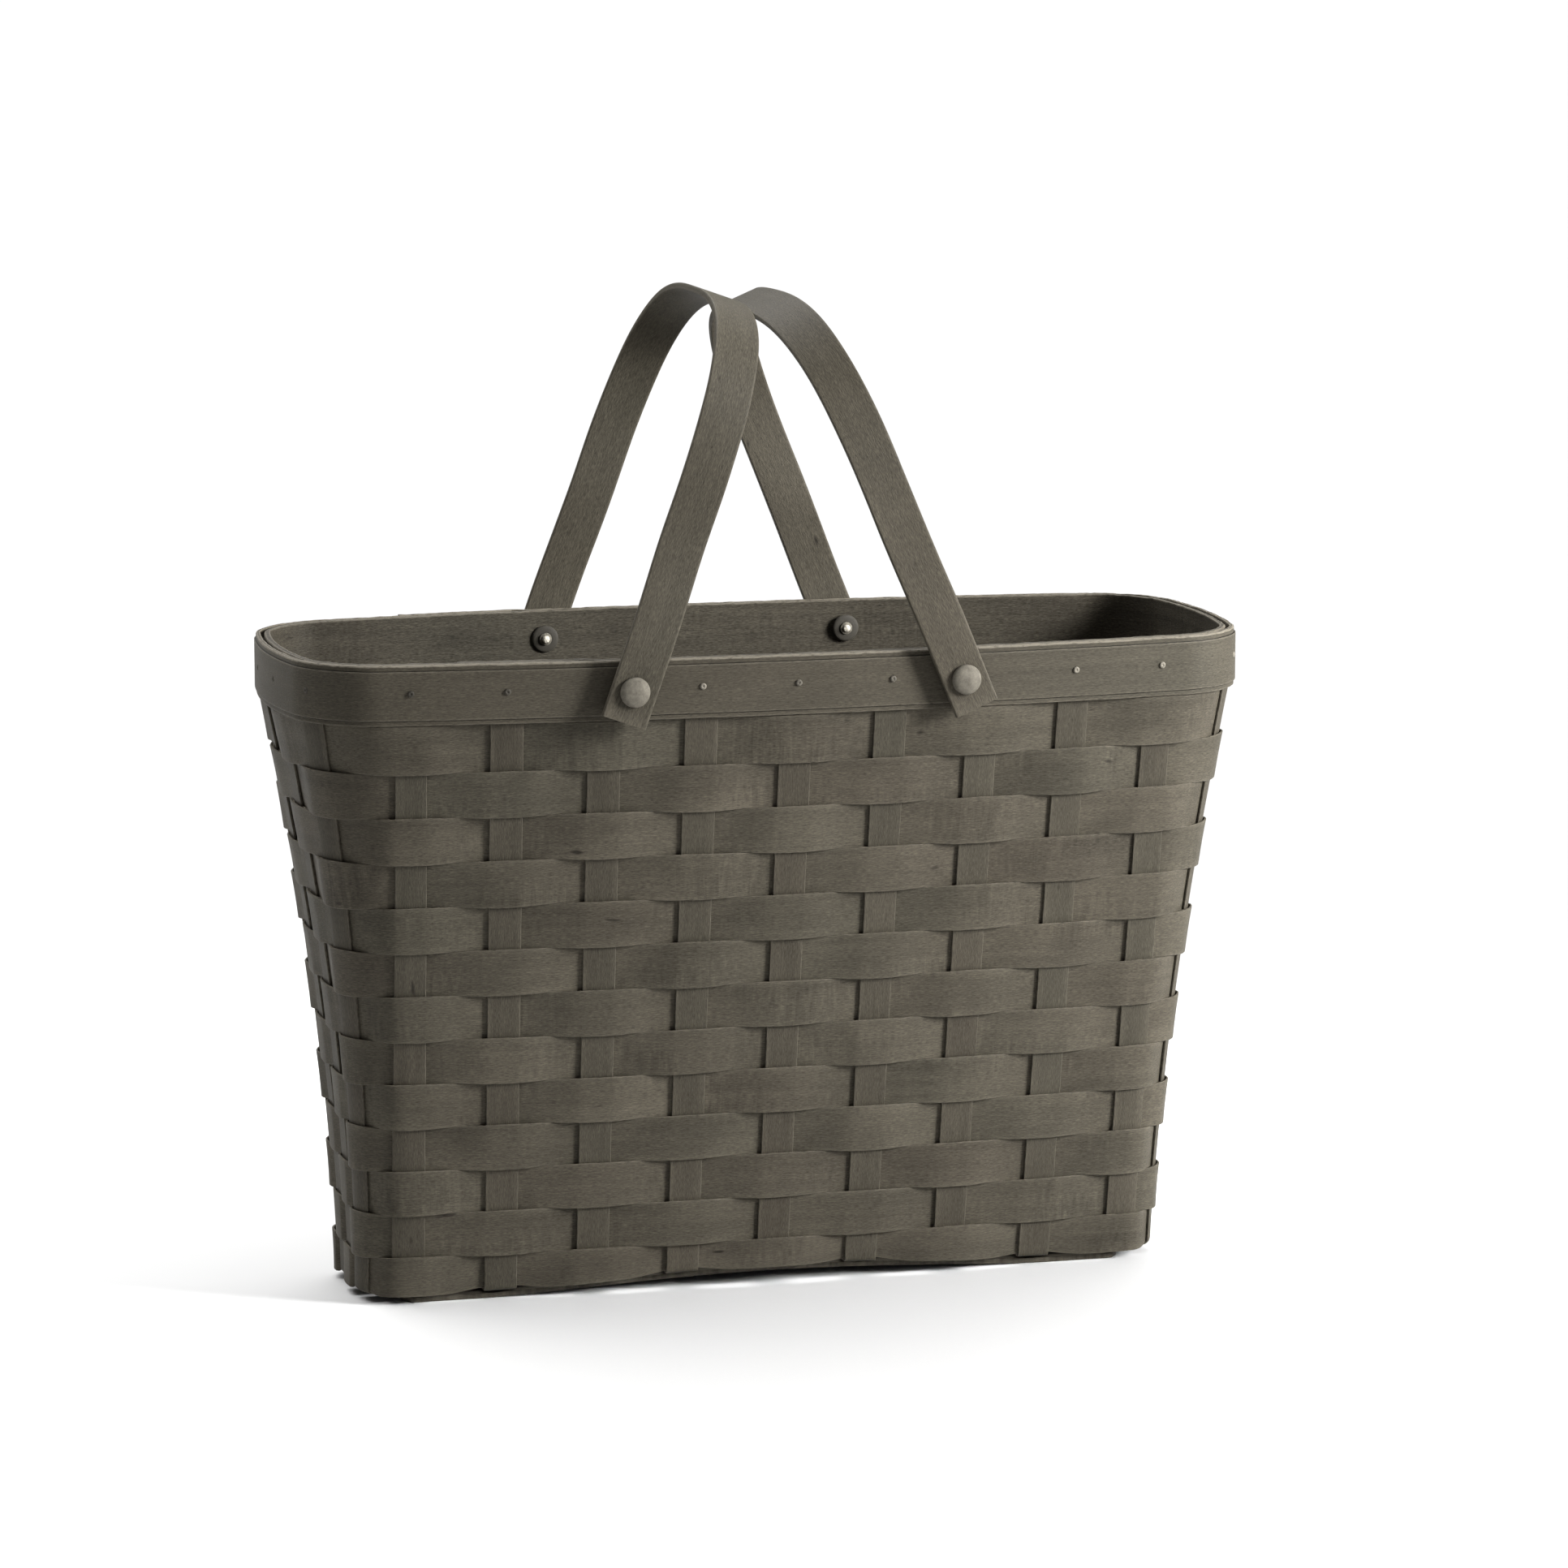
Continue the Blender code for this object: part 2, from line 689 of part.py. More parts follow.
def arch_edge(x):
    """Edge of half a handle, from the crown down one leg to its square end."""
    points = []
    for step in range(HANDLE_ARCH_STEPS + 1):
        turn = math.pi / 2 * step / HANDLE_ARCH_STEPS
        across = HANDLE_ARCH_HALF_SPAN * math.sin(turn) ** (2 / HANDLE_ARCH_POWER)
        if step == HANDLE_ARCH_STEPS:
            up = HANDLE_LEG_RISE
        else:
            climb = math.cos(turn) ** (2 / HANDLE_ARCH_POWER)
            up = between(HANDLE_LEG_RISE, HANDLE_RISE, climb)
        points.append(Vector((x, -across, up)))
    points.append(Vector((x, -HANDLE_HALF_SPAN, HANDLE_FOOT_RISE)))
    points.append(Vector((x, -HANDLE_HALF_SPAN, -HANDLE_TAIL)))
    return points


def right_yaw():
    """Turn of the right handle's pivot line, whose back end is set in along the rim."""
    return math.atan2(BACK_RIGHT_SETBACK, 2 * HANDLE_HALF_SPAN)


def pivot_lines():
    """Middle and turn of the pivot lines of the left and the right handle."""
    return ((-PIVOT_HALF_SPACING, 0.0),
            (PIVOT_HALF_SPACING - BACK_RIGHT_SETBACK / 2, right_yaw()))


def line_direction(line):
    """Direction of a pivot line, from front to back."""
    return Vector((-math.sin(line[1]), math.cos(line[1]), 0))


def line_point(line, reach):
    """Point of a pivot line, at a reach from its middle towards the back."""
    return Vector((line[0], 0, PIVOT_Z)) + line_direction(line) * reach


def make_handle(name, line, lean, material, collection):
    half = HANDLE_WIDTH / 2
    mesh = strip_mesh(name, (arch_edge(-half), arch_edge(half)), False)
    handle = new_object(name, mesh, material, collection)
    handle.location = line_point(line, 0)
    handle.rotation_euler = (0, lean, line[1])
    whole = handle.modifiers.new("both_legs", "MIRROR")
    whole.use_axis = (False, True, False)
    whole.use_clip = True
    whole.merge_threshold = MERGE
    add_thickness(handle, HANDLE_THICKNESS)
    return handle


def right_lean():
    """Lean at which the right handle's crown comes to rest beside the left one's."""
    crown = HANDLE_RISE + HANDLE_THICKNESS / 2
    half = HANDLE_WIDTH / 2
    left_line, right_line = pivot_lines()
    left_reach = crown * math.sin(LEFT_LEAN) + half * math.cos(LEFT_LEAN)
    needed = right_line[0] - left_line[0] - left_reach - CROWN_GAP
    return math.asin(needed / math.hypot(crown, half)) - math.atan2(half, crown)


def rivet_profile(depth):
    """Rivet along Z: crowned head above 0, shank down to the washer, and a peened end."""
    profile = []
    for step in range(CROWN_SEGMENTS + 1):
        turn = math.pi / 2 * step / CROWN_SEGMENTS
        radius = RIVET_HEAD_RADIUS * math.sin(turn)
        height = RIVET_HEAD_EDGE + RIVET_HEAD_CROWN * math.cos(turn)
        profile.append((radius, height))
    profile.append((RIVET_HEAD_RADIUS, 0.0))
    profile.append((RIVET_SHANK_RADIUS, 0.0))
    profile.append((RIVET_SHANK_RADIUS, -depth))
    profile.append((RIVET_PEEN_RADIUS, -depth))
    profile.append((RIVET_PEEN_RADIUS / 2, -depth - RIVET_PEEN_LENGTH))
    profile.append((0.0, -depth - RIVET_PEEN_LENGTH))
    return profile


def washer_profile():
    """Dished washer along Z, lying on 0, with its hole."""
    hole = RIVET_SHANK_RADIUS + RIVET_CLEARANCE
    return [(hole, WASHER_THICKNESS), (WASHER_RADIUS - WASHER_DISH, WASHER_THICKNESS - WASHER_DISH),
            (WASHER_RADIUS, 0.0), (hole, 0.0)]


def rim_y(x, offset):
    """Depth of the rim's long side at x, measured from the middle of the uprights."""
    return quarter_point(HOOP_FOOT, abs(x))[1] + offset


def make_pivots(rivet_material, washer_material, collection):
    """A rivet and a washer for each end of each handle."""
    head_seat = HANDLE_HALF_SPAN + HANDLE_THICKNESS / 2 + SEAT_GAP
    washer_seat = rim_y(PIVOT_HALF_SPACING, -INNER_FACE) - WASHER_STANDOFF
    peen_seat = washer_seat - WASHER_THICKNESS - SEAT_GAP
    rivet = turned_mesh("pivot_rivet", rivet_profile(head_seat - peen_seat), RIVET_STEPS)
    washer = turned_mesh("pivot_washer", washer_profile(), RIVET_STEPS)
    for mesh in (rivet, washer):
        mesh.shade_smooth()
        mesh.set_sharp_from_angle(angle=math.radians(40))
    rivet.materials.append(rivet_material)
    washer.materials.append(washer_material)
    for side_name, sign_y in (("front", -1), ("back", 1)):
        for end_name, line in zip(("left", "right"), pivot_lines()):
            pin = bpy.data.objects.new(f"rivet_{side_name}_{end_name}", rivet)
            pin.location = line_point(line, sign_y * head_seat)
            pin.rotation_euler = (-sign_y * math.pi / 2, 0, line[1])
            disc = bpy.data.objects.new(f"washer_{side_name}_{end_name}", washer)
            disc.location = line_point(line, sign_y * washer_seat)
            disc.rotation_euler = (sign_y * math.pi / 2, 0, line[1])
            for item in (pin, disc):
                collection.objects.link(item)


def hole_places(line, reach):
    """Places of the two holes on a pivot line, at a reach to the front and to the back."""
    return [outward_place(line_point(line, sign_y * reach), line_direction(line) * sign_y)
            for sign_y in (-1, 1)]


# Tacks

def tack_profile(length):
    """Tack along Z: flat head above 0 and a plain shank below it."""
    return [(0.0, TACK_HEAD_HEIGHT), (TACK_HEAD_RADIUS, TACK_HEAD_HEIGHT / 2),
            (TACK_HEAD_RADIUS, 0.0), (TACK_SHANK_RADIUS, 0.0), (TACK_SHANK_RADIUS, -length),
            (0.0, -length)]


def pivot_uprights():
    """Uprights beside the pivots, which the rivets hold instead of a tack."""
    chosen = []
    for upright, run in enumerate(upright_runs(TACK_Z)):
        point = wall_point(TACK_Z, run)
        beside = abs(abs(point.x) - PIVOT_HALF_SPACING) < STAKE_WIDTH
        if beside:
            chosen.append(upright)
    return chosen


def in_outer_lap(point):
    """Whether the outer hoop lies double at a point of the rim."""
    lap_end = OUTER_LAP_X - HOOP_LAP
    return point.y > 0 and lap_end - HOOP_LAP_RAMP < point.x < OUTER_LAP_X + HOOP_LAP_RAMP


def tack_reach(lapped):
    """Length of a rim tack's shank, from under its head into the inner hoop."""
    lap = OUTER_HOOP_THICKNESS + SEAT_GAP if lapped else 0.0
    return SEAT_GAP + OUTER_FACE + lap + HOOP_SEAT + TACK_BITE


def rim_tack_seats():
    """Each rim tack's upright, its seat under the head, and whether the hoop is lapped there."""
    seats = []
    skipped = pivot_uprights()
    for upright, run in enumerate(upright_runs(TACK_Z)):
        if upright in skipped:
            continue
        lapped = in_outer_lap(wall_point(TACK_Z, run))
        out = tack_reach(lapped) - HOOP_SEAT - TACK_BITE
        place = outward_place(wall_point(TACK_Z, run, out), wall_normal(TACK_Z, run))
        seats.append((upright, place, lapped))
    return seats


def make_side_tacks(material, collection):
    """A tack for each upright along the two long sides, but for those held by a rivet."""
    short = turned_mesh("rim_tack", tack_profile(tack_reach(False)), TACK_STEPS)
    long = turned_mesh("rim_tack_long", tack_profile(tack_reach(True)), TACK_STEPS)
    for mesh in (short, long):
        mesh.materials.append(material)
    side_seats = [seat for seat in rim_tack_seats() if not is_end_upright(seat[0])]
    for number, (upright, place, lapped) in enumerate(side_seats, start=1):
        tack = bpy.data.objects.new(f"rim_tack_{number:02d}", long if lapped else short)
        tack.matrix_world = place
        collection.objects.link(tack)


def end_tack_tool(collection):
    """The end uprights' tacks, sunk to one body with the outer hoop that carries them."""
    places = [place @ Matrix.Translation((0, 0, -2 * SEAT_GAP))
              for upright, place, lapped in rim_tack_seats() if is_end_upright(upright)]
    single = turned_mesh("end_tack", tack_profile(tack_reach(False)), TACK_STEPS)
    tool = bpy.data.objects.new("end_tacks", group_mesh("end_tacks", single, places))
    collection.objects.link(tool)
    tool.hide_render = True
    tool.display_type = "WIRE"
    return tool


def board_tack_places():
    """Places of the board's tacks, in the gaps between an inner and an outer long stake."""
    places = []
    gap_y = plan_point(FLOOR_LEVEL, quarter_run(FLOOR_LEVEL) + end_pitch(FLOOR_LEVEL))[1]
    for stake in BOARD_TACK_STAKES:
        inset = BOARD_TACK_INSET * (stake - MIDDLE_STAKE) / SIDE_GAPS
        x = cross_stake_x(stake) - inset
        for sign_y in (-1, 1):
            head = floor_rise(x) + TACK_HEAD_HEIGHT + BOARD_TACK_SINK
            point = Vector((x, sign_y * gap_y, head))
            places.append(outward_place(point, Vector((0, 0, -1))))
    return places


def make_board_tacks(material, collection):
    head = TACK_HEAD_HEIGHT + BOARD_TACK_SINK
    length = FLOOR_LEVEL + STAKE_THICKNESS / 2 + BOARD_TACK_PROUD - head
    mesh = turned_mesh("board_tack", tack_profile(length), TACK_STEPS)
    mesh.materials.append(material)
    for number, place in enumerate(board_tack_places(), start=1):
        tack = bpy.data.objects.new(f"board_tack_{number}", mesh)
        tack.matrix_world = place
        collection.objects.link(tack)


# Bottom board

def make_board(material, collection):
    sheet = bmesh.new()
    bmesh.ops.create_grid(sheet, x_segments=BOARD_STEPS, y_segments=1, size=1.0)
    bmesh.ops.scale(sheet, vec=(BOARD_HALF_LENGTH, BOARD_HALF_DEPTH, 1.0), verts=sheet.verts)
    corners = [vert for vert in sheet.verts if len(vert.link_edges) == 2]
    bmesh.ops.bevel(sheet, geom=corners, offset=BOARD_CORNER_RADIUS, profile=0.5,
                    segments=BOARD_CORNER_SEGMENTS, affect="VERTICES", offset_type="OFFSET",
                    clamp_overlap=True)
    for vert in sheet.verts:
        vert.co.z = floor_rise(vert.co.x)
    mesh = bpy.data.meshes.new("bottom_board")
    sheet.to_mesh(mesh)
    sheet.free()
    board = new_object("bottom_board", mesh, material, collection)
    add_thickness(board, BOARD_THICKNESS, 1.0)
    return board


# Holes for the rivets and tacks

def drill_rim(outer, inner, stakes, cutters):
    """Drill the rim for its rivets and tacks, and join the end tacks to the outer hoop."""
    pivot_places = [place for line in pivot_lines()
                    for place in hole_places(line, RIM_HALF_DEPTH)]
    pivot = pin_cutter("pivot_holes", RIVET_SHANK_RADIUS + RIVET_CLEARANCE, 4 * OUTER_FACE,
                       pivot_places, RIVET_STEPS, cutters)
    seats = rim_tack_seats()
    side_places = [seat[1] for seat in seats if not is_end_upright(seat[0])]
    all_places = [seat[1] for seat in seats]
    hole = TACK_SHANK_RADIUS + TACK_CLEARANCE
    depth = 2 * (tack_reach(True) + OVERRUN)
    side = pin_cutter("side_tack_holes", hole, depth, side_places, TACK_STEPS, cutters)
    every = pin_cutter("rim_tack_holes", hole, depth, all_places, TACK_STEPS, cutters)
    cut(outer, pivot)
    cut(outer, side)
    join(outer, end_tack_tool(cutters))
    cut(inner, pivot)
    cut(inner, every)
    for stake in stakes.values():
        cut(stake, every)


def drill_handles(handles, cutters):
    radius = RIVET_SHANK_RADIUS + RIVET_CLEARANCE
    for line, handle in zip(pivot_lines(), handles):
        places = hole_places(line, HANDLE_HALF_SPAN)
        cut(handle, pin_cutter(handle.name + "_holes", radius, HANDLE_THICKNESS + OVERRUN,
                               places, RIVET_STEPS, cutters))


def drill_board(board, stakes, cutters):
    places = board_tack_places()
    shank = pin_cutter("board_tack_holes", TACK_SHANK_RADIUS + TACK_CLEARANCE,
                       4 * FLOOR_LEVEL, places, TACK_STEPS, cutters)
    sink = pin_cutter("board_tack_sinks", TACK_HEAD_RADIUS + TACK_CLEARANCE,
                      2 * (TACK_HEAD_HEIGHT + SEAT_GAP), board_sink_places(), TACK_STEPS, cutters)
    cut(board, shank)
    cut(board, sink)
    for number in BOARD_TACK_STAKES:
        cut(stakes[f"cross_stake_{number}"], shank)


def board_sink_places():
    places = []
    for place in board_tack_places():
        shift = place.to_translation()
        shift.z = floor_rise(shift.x) + BOARD_TACK_SINK
        places.append(Matrix.Translation(shift))
    return places


def main():
    clear_scene()
    parts = new_collection(OBJECT_NAME)
    cutters = new_collection(OBJECT_NAME + "_cutters")
    splint = new_material("weaver_splint", SPLINT_COLOUR, WOOD_ROUGHNESS, 0.0)
    stake = new_material("stake_splint", STAKE_COLOUR, WOOD_ROUGHNESS, 0.0)
    hoop = new_material("hoop_wood", HOOP_COLOUR, WOOD_ROUGHNESS, 0.0)
    handle = new_material("handle_wood", HANDLE_COLOUR, WOOD_ROUGHNESS, 0.0)
    board = new_material("board_wood", BOARD_COLOUR, WOOD_ROUGHNESS, 0.0)
    rivet = new_material("rivet_metal", RIVET_COLOUR, METAL_ROUGHNESS, 1.0)
    washer = new_material("washer_metal", WASHER_COLOUR, METAL_ROUGHNESS, 1.0)
    tack = new_material("tack_metal", TACK_COLOUR, METAL_ROUGHNESS, 1.0)

    for row in range(1, ROWS + 1):
        make_weaver(row, splint, parts)
    stakes = make_stakes(stake, parts)
    half_round = 2 * quarter_run(HOOP_FOOT)
    outer = make_hoop("outer_hoop", half_round + abs(OUTER_LAP_X), 1, True, hoop, parts)
    inner = make_hoop("inner_hoop", abs(INNER_LAP_X), -1, False, hoop, parts)
    left_line, right_line = pivot_lines()
    left = make_handle("handle_left", left_line, LEFT_LEAN, handle, parts)
    right = make_handle("handle_right", right_line, -right_lean(), handle, parts)
    make_pivots(rivet, washer, parts)
    make_side_tacks(tack, parts)
    bottom = make_board(board, parts)
    make_board_tacks(tack, parts)
    bpy.context.view_layer.update()
    drill_rim(outer, inner, stakes, cutters)
    drill_handles((left, right), cutters)
    drill_board(bottom, stakes, cutters)


main()
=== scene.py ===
# Looks of the tote basket: stained splints, bent rim hoops, swing handles, rivets and tacks.
# Metres, +Z up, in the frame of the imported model, with the front towards -Y.

import math

import bmesh
import bpy
from mathutils import Euler, Matrix, Vector, noise


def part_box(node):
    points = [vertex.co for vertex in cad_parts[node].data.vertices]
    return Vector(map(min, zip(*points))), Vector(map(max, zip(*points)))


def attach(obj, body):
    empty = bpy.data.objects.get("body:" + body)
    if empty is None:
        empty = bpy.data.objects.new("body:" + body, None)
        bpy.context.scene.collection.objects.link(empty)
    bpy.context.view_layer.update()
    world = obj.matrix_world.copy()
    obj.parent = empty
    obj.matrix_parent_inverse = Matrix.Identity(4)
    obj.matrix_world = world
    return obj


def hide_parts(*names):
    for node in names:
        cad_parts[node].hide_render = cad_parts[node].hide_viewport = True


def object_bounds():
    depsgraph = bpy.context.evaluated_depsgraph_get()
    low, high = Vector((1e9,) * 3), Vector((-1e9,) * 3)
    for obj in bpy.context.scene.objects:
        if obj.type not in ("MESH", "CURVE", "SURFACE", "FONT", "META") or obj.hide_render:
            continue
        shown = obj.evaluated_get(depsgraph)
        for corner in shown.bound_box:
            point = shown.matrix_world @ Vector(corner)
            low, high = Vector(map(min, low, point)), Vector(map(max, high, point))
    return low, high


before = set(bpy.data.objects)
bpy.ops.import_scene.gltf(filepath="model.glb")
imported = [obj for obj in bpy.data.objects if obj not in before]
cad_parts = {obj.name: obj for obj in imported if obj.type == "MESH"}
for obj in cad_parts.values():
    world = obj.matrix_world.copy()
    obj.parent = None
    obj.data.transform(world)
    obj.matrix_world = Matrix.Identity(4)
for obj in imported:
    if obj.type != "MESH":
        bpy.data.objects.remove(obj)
cad_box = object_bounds()

bl_info = {
    "name": "Tote basket looks",
    "version": (1, 0, 0),
    "blender": (4, 5, 0),
    "location": "View3D > Sidebar > Basket",
    "description": "Dresses the packed tote basket in stained wood and metal on a pale studio floor",
    "category": "Object",
}

GRAIN_MAP = "grain"
# Mesh attribute of edge wear: more on the hoops' upper edges for painted light from above, and
# negative where shade with stain is painted into inner corners
EDGE_MASK = "edge_wear"
MERGE = 0.00001
PROBE = 0.0005


# Settings. The panel labels each one by its name

def length(default, description):
    return bpy.props.FloatProperty(description=description, default=default, precision=5,
                                   unit="LENGTH")


def share(default, description):
    return bpy.props.FloatProperty(description=description, default=default, precision=3)


def count(default, description):
    return bpy.props.IntProperty(description=description, default=default, min=1)


def angle(degrees, description):
    return bpy.props.FloatProperty(description=description, default=math.radians(degrees),
                                   subtype="ANGLE")


def position(default, description):
    return bpy.props.FloatVectorProperty(description=description, default=default,
                                         subtype="TRANSLATION", unit="LENGTH", precision=5)


def colour(default, description):
    return bpy.props.FloatVectorProperty(description=description, default=default, size=4,
                                         min=0.0, max=1.0, subtype="COLOR")


class TOTE_PG_walls(bpy.types.PropertyGroup):
    base_half_length: length(0.2035, "Middle to an end wall's foot")
    rim_half_length: length(0.2375, "Middle to an end wall's top")
    base_half_depth: length(0.0455, "Middle to a side wall's foot")
    rim_half_depth: length(0.0942, "Middle to a side wall's top")
    base_corner_radius: length(0.020, "Radius of the foot's corners")
    rim_corner_radius: length(0.034, "Radius of the rim's corners")
    base_side_bow: length(0.0064, "How far a side draws in at the reach")
    rim_side_bow: length(0.013, "How far a side draws in at the reach")
    bow_reach: length(0.200, "Distance from the middle where the bow is measured")
    rim_end_bow: length(0.0105, "How far the corners round off the ends")
    end_bow_power: share(8.0, "How late the ends start to round off")
    end_flare_power: share(1.75, "How late the end walls flare")


class TOTE_PG_splints(bpy.types.PropertyGroup):
    rows: count(13, "Weavers from the rim to the floor")
    row_pitch: length(0.0222, "Height from one weaver to the next")
    row_base: length(0.0018, "Height of the lowest row above the ground")
    row_gap: length(0.0001, "Gap between two weavers")
    weaver_thickness: length(0.0010, "Thickness of the splints round the walls")
    weave_gap: length(0.0002, "Gap between a weaver and an upright")
    brick_sag: length(0.0008, "How far a weaver's foot spreads over an upright")
    brick_flare: length(0.0004, "How far a weaver's top spreads over an upright")
    foot_hang: length(0.0006, "How far an inner foot hangs behind the row below")
    row_wander: length(0.0007, "How far the rows wander up and down together")
    last_row_lift: length(0.0024, "Lowest weaver's foot above its row")
    brick_bulge: length(0.0005, "How far a weaver bows out over an upright")
    brick_cup: length(0.00015, "How far a weaver's edges curl out")
    cross_stakes: count(9, "Uprights along each long side")
    long_stakes: count(4, "Uprights across each end")
    stake_width: length(0.016, "Width of an upright")
    stake_thickness: length(0.0012, "Thickness of an upright")
    weave_margin: length(0.0003, "Gap beside an upright where a weaver turns")
    base_corner_inset: length(0.0219, "Last cross stake from the end wall")
    rim_corner_inset: length(0.0495, "Last cross stake from the end wall")
    base_end_inset: length(0.0155, "Last long stake from the side wall")
    rim_end_inset: length(0.0207, "Last long stake from the side wall")
    stake_setback: length(0.0042, "Stake tops below the top of the hoops")
    crease_radius: length(0.0020, "Bend of an upright into the floor")
    tuck_gap: length(0.0007, "Lowest weaver above the floor where it runs inside")
    seat_gap: length(0.0003, "Gap between pieces that lie on each other")
    edge_fray: length(0.00013, "How far the sawn edges wander")
    warp: length(0.00025, "How far a weaver's face wanders in and out")
    stake_warp: length(0.00015, "How far an upright's face wanders in and out")
    edge_round: length(0.00022, "Rounding of a splint's edges")


class TOTE_PG_board(bpy.types.PropertyGroup):
    end_setback: length(0.0200, "Board's end from the end wall's foot")
    side_setback: length(0.0070, "Board's side from the side wall's foot")
    thickness: length(0.0026, "Thickness of the bottom board")
    rise: length(0.0050, "How far the board arches up in the middle")
    arch_steps: count(12, "Steps of the arch, of which the two outer ones lie flat")
    corner_radius: length(0.006, "Radius of the board's corners")
    edge_round: length(0.0004, "Rounding of the board's edges")
    edge_fray: length(0.0001, "How far the sawn edges wander")
    tack_inset: length(0.0040, "Outer tacks from the middle of their stake")
    tack_sink: length(0.0003, "Tack heads below the board's face")


class TOTE_PG_rim(bpy.types.PropertyGroup):
    height: length(0.0290, "Height of the hoops")
    outer_thickness: length(0.0031, "Thickness of the outer hoop")
    inner_thickness: length(0.0030, "Thickness of the inner hoop")
    edge_step: length(0.0008, "Depth of the outer hoop's rebates")
    top_lip: length(0.0030, "Height of the upper rebate")
    foot_lip: length(0.0025, "Height of the lower rebate")
    edge_round: length(0.00022, "Rounding of the hoops' edges")
    top_round: length(0.0011, "Rounding of the hoops' upper outer edges")
    edge_fray: length(0.00022, "How far the sawn edges wander")
    wear_reach: length(0.0009, "How far wear reaches in from an edge")
    # The upper edges are lightened beyond their wear: painted light from above
    top_wear_and_light: share(1.7, "How much more the upper edges are worn")
    lap: length(0.058, "How far a hoop lies double")
    lap_ramp: length(0.012, "Run over which the lap rises")
    outer_lap_setback: length(0.016, "Outer lap's start from the pivot")
    inner_lap_setback: length(0.024, "Inner lap's start from the pivot")
    tack_height: length(0.0155, "Rim tacks above the foot of the hoops")


class TOTE_PG_handles(bpy.types.PropertyGroup):
    width: length(0.0225, "Width of a handle strip")
    thickness: length(0.0032, "Thickness of a handle strip")
    standoff: length(0.0039, "Handle from the rim at the pivots")
    leg_draw_in: length(0.0050, "How far the legs lean in below the arch")
    rise: length(0.1900, "Crown above the pivots")
    leg_rise: length(0.0855, "Start of the arch above the pivots")
    foot_rise: length(0.0160, "Top of the straight foot above the pivots")
    tail: length(0.0155, "Leg below the pivots")
    arch_power: share(2.9, "How square the arch is")
    edge_round: length(0.0006, "Rounding of a handle's edges")
    wear_reach: length(0.0014, "How far wear reaches in from an edge")
    face_warp: length(0.00015, "How far a handle's faces wander")
    edge_warp: length(0.0002, "How far a handle's edges wander")
    stakes_out: count(2, "Upright beside which the pivots stand")
    pivot_inset: length(0.012, "Pivot from the middle of that upright")
    pivot_height: length(0.0147, "Pivots above the foot of the hoops")
    back_right_setback: length(0.0075, "Right handle's back pivot set in")
    left_lean: angle(19.8, "Lean of the left handle at rest")
    crown_gap: length(0.0008, "Gap between the two crowns at rest")


class TOTE_PG_metal(bpy.types.PropertyGroup):
    head_radius: length(0.0073, "Radius of a rivet's head")
    head_edge: length(0.0010, "Height of the head's edge")
    head_crown: length(0.0024, "Height of the head's crown above its edge")
    shank_radius: length(0.0022, "Radius of a rivet's shank")
    shank_clearance: length(0.0004, "Gap round the shank")
    peen_radius: length(0.0032, "Radius of the peened end")
    peen_length: length(0.0020, "Length of the peened end")
    peen_batter: length(0.0006, "Depth of the hammer marks in the peened end")
    washer_radius: length(0.0068, "Radius of a washer")
    washer_thickness: length(0.0012, "Thickness of a washer")
    washer_round: length(0.0006, "Rounding of a washer's bore")
    washer_standoff: length(0.0007, "Washer from the inner hoop's face")
    tack_radius: length(0.0016, "Radius of a tack's head")
    tack_height: length(0.0006, "Height of a tack's head")
    tack_dent: length(0.00035, "Depth of the punch mark in a tack's head")
    tack_shank: length(0.0007, "Radius of a tack's shank")
    tack_bite: length(0.0015, "How far a tack goes into the inner hoop")
    relief: length(0.00012, "Depth of the scratches")


class TOTE_PG_stain(bpy.types.PropertyGroup):
    dark: colour((0.0265, 0.0234, 0.0172, 1.0), "Stain in pores and dark fibres")
    middle: colour((0.0560, 0.0497, 0.0375, 1.0), "Stain on the plain wood")
    light: colour((0.0950, 0.0842, 0.0640, 1.0), "Stain on the pale fibres")
    edge: colour((0.1500, 0.1340, 0.1050, 1.0), "Wood where the sawn edges are worn")
    knot: colour((0.012, 0.010, 0.008, 1.0), "Stain in the small knots")
    # Painted shade in the inner corners of the hoops' rebates, with the stain left there
    gathered: colour((0.008, 0.007, 0.005, 1.0), "Stain left in inner corners")
    relief: length(0.00014, "Depth of the wood's grain")
    metal: colour((0.20, 0.183, 0.150, 1.0), "Heads of the tacks")
    bright: colour((0.52, 0.49, 0.42, 1.0), "Hammered tips of the rivets")
    rivet: colour((0.160, 0.146, 0.118, 1.0), "Heads and peened ends of the rivets")
    tarnish: colour((0.045, 0.040, 0.031, 1.0), "Stain left on the metal")
    # The washer colour also paints the shade of its hole on the shadowed tack
    washer: colour((0.030, 0.0265, 0.020, 1.0), "Stain on the washers and sunken tacks")
    floor: colour((0.58, 0.58, 0.58, 1.0), "Floor and backdrop")


class TOTE_PG_stage(bpy.types.PropertyGroup):
    camera_place: position((-0.77748, -2.95497, 0.74119), "Where the camera stands")
    camera_turn: angle(-15.0862, "Turn of the camera about the upright")
    camera_tilt: angle(80.7397, "Tilt of the camera up from straight down")
    camera_lens: share(143.536, "Focal length in millimetres")
    floor_reach: length(40.0, "Half the width of the floor")
    key_strength: share(9.4, "Power of the light on the right, in watts")
    key_size: length(0.8, "Width and height of the light on the right")
    key_spread: angle(38.0, "Width of the beam of the light on the right")
    key_place: position((1.55, -0.78, 0.83), "Where the light on the right hangs")
    key_aim: position((0.49, -0.1, 0.36), "What the light on the right points at")
    top_strength: share(5.6, "Strength of the light overhead")
    top_spread: angle(75.0, "Breadth of the light overhead")
    top_place: position((-0.20, 0.80, 1.6), "Where the light overhead comes from")
    world_strength: share(0.13, "Strength of the even light all round")


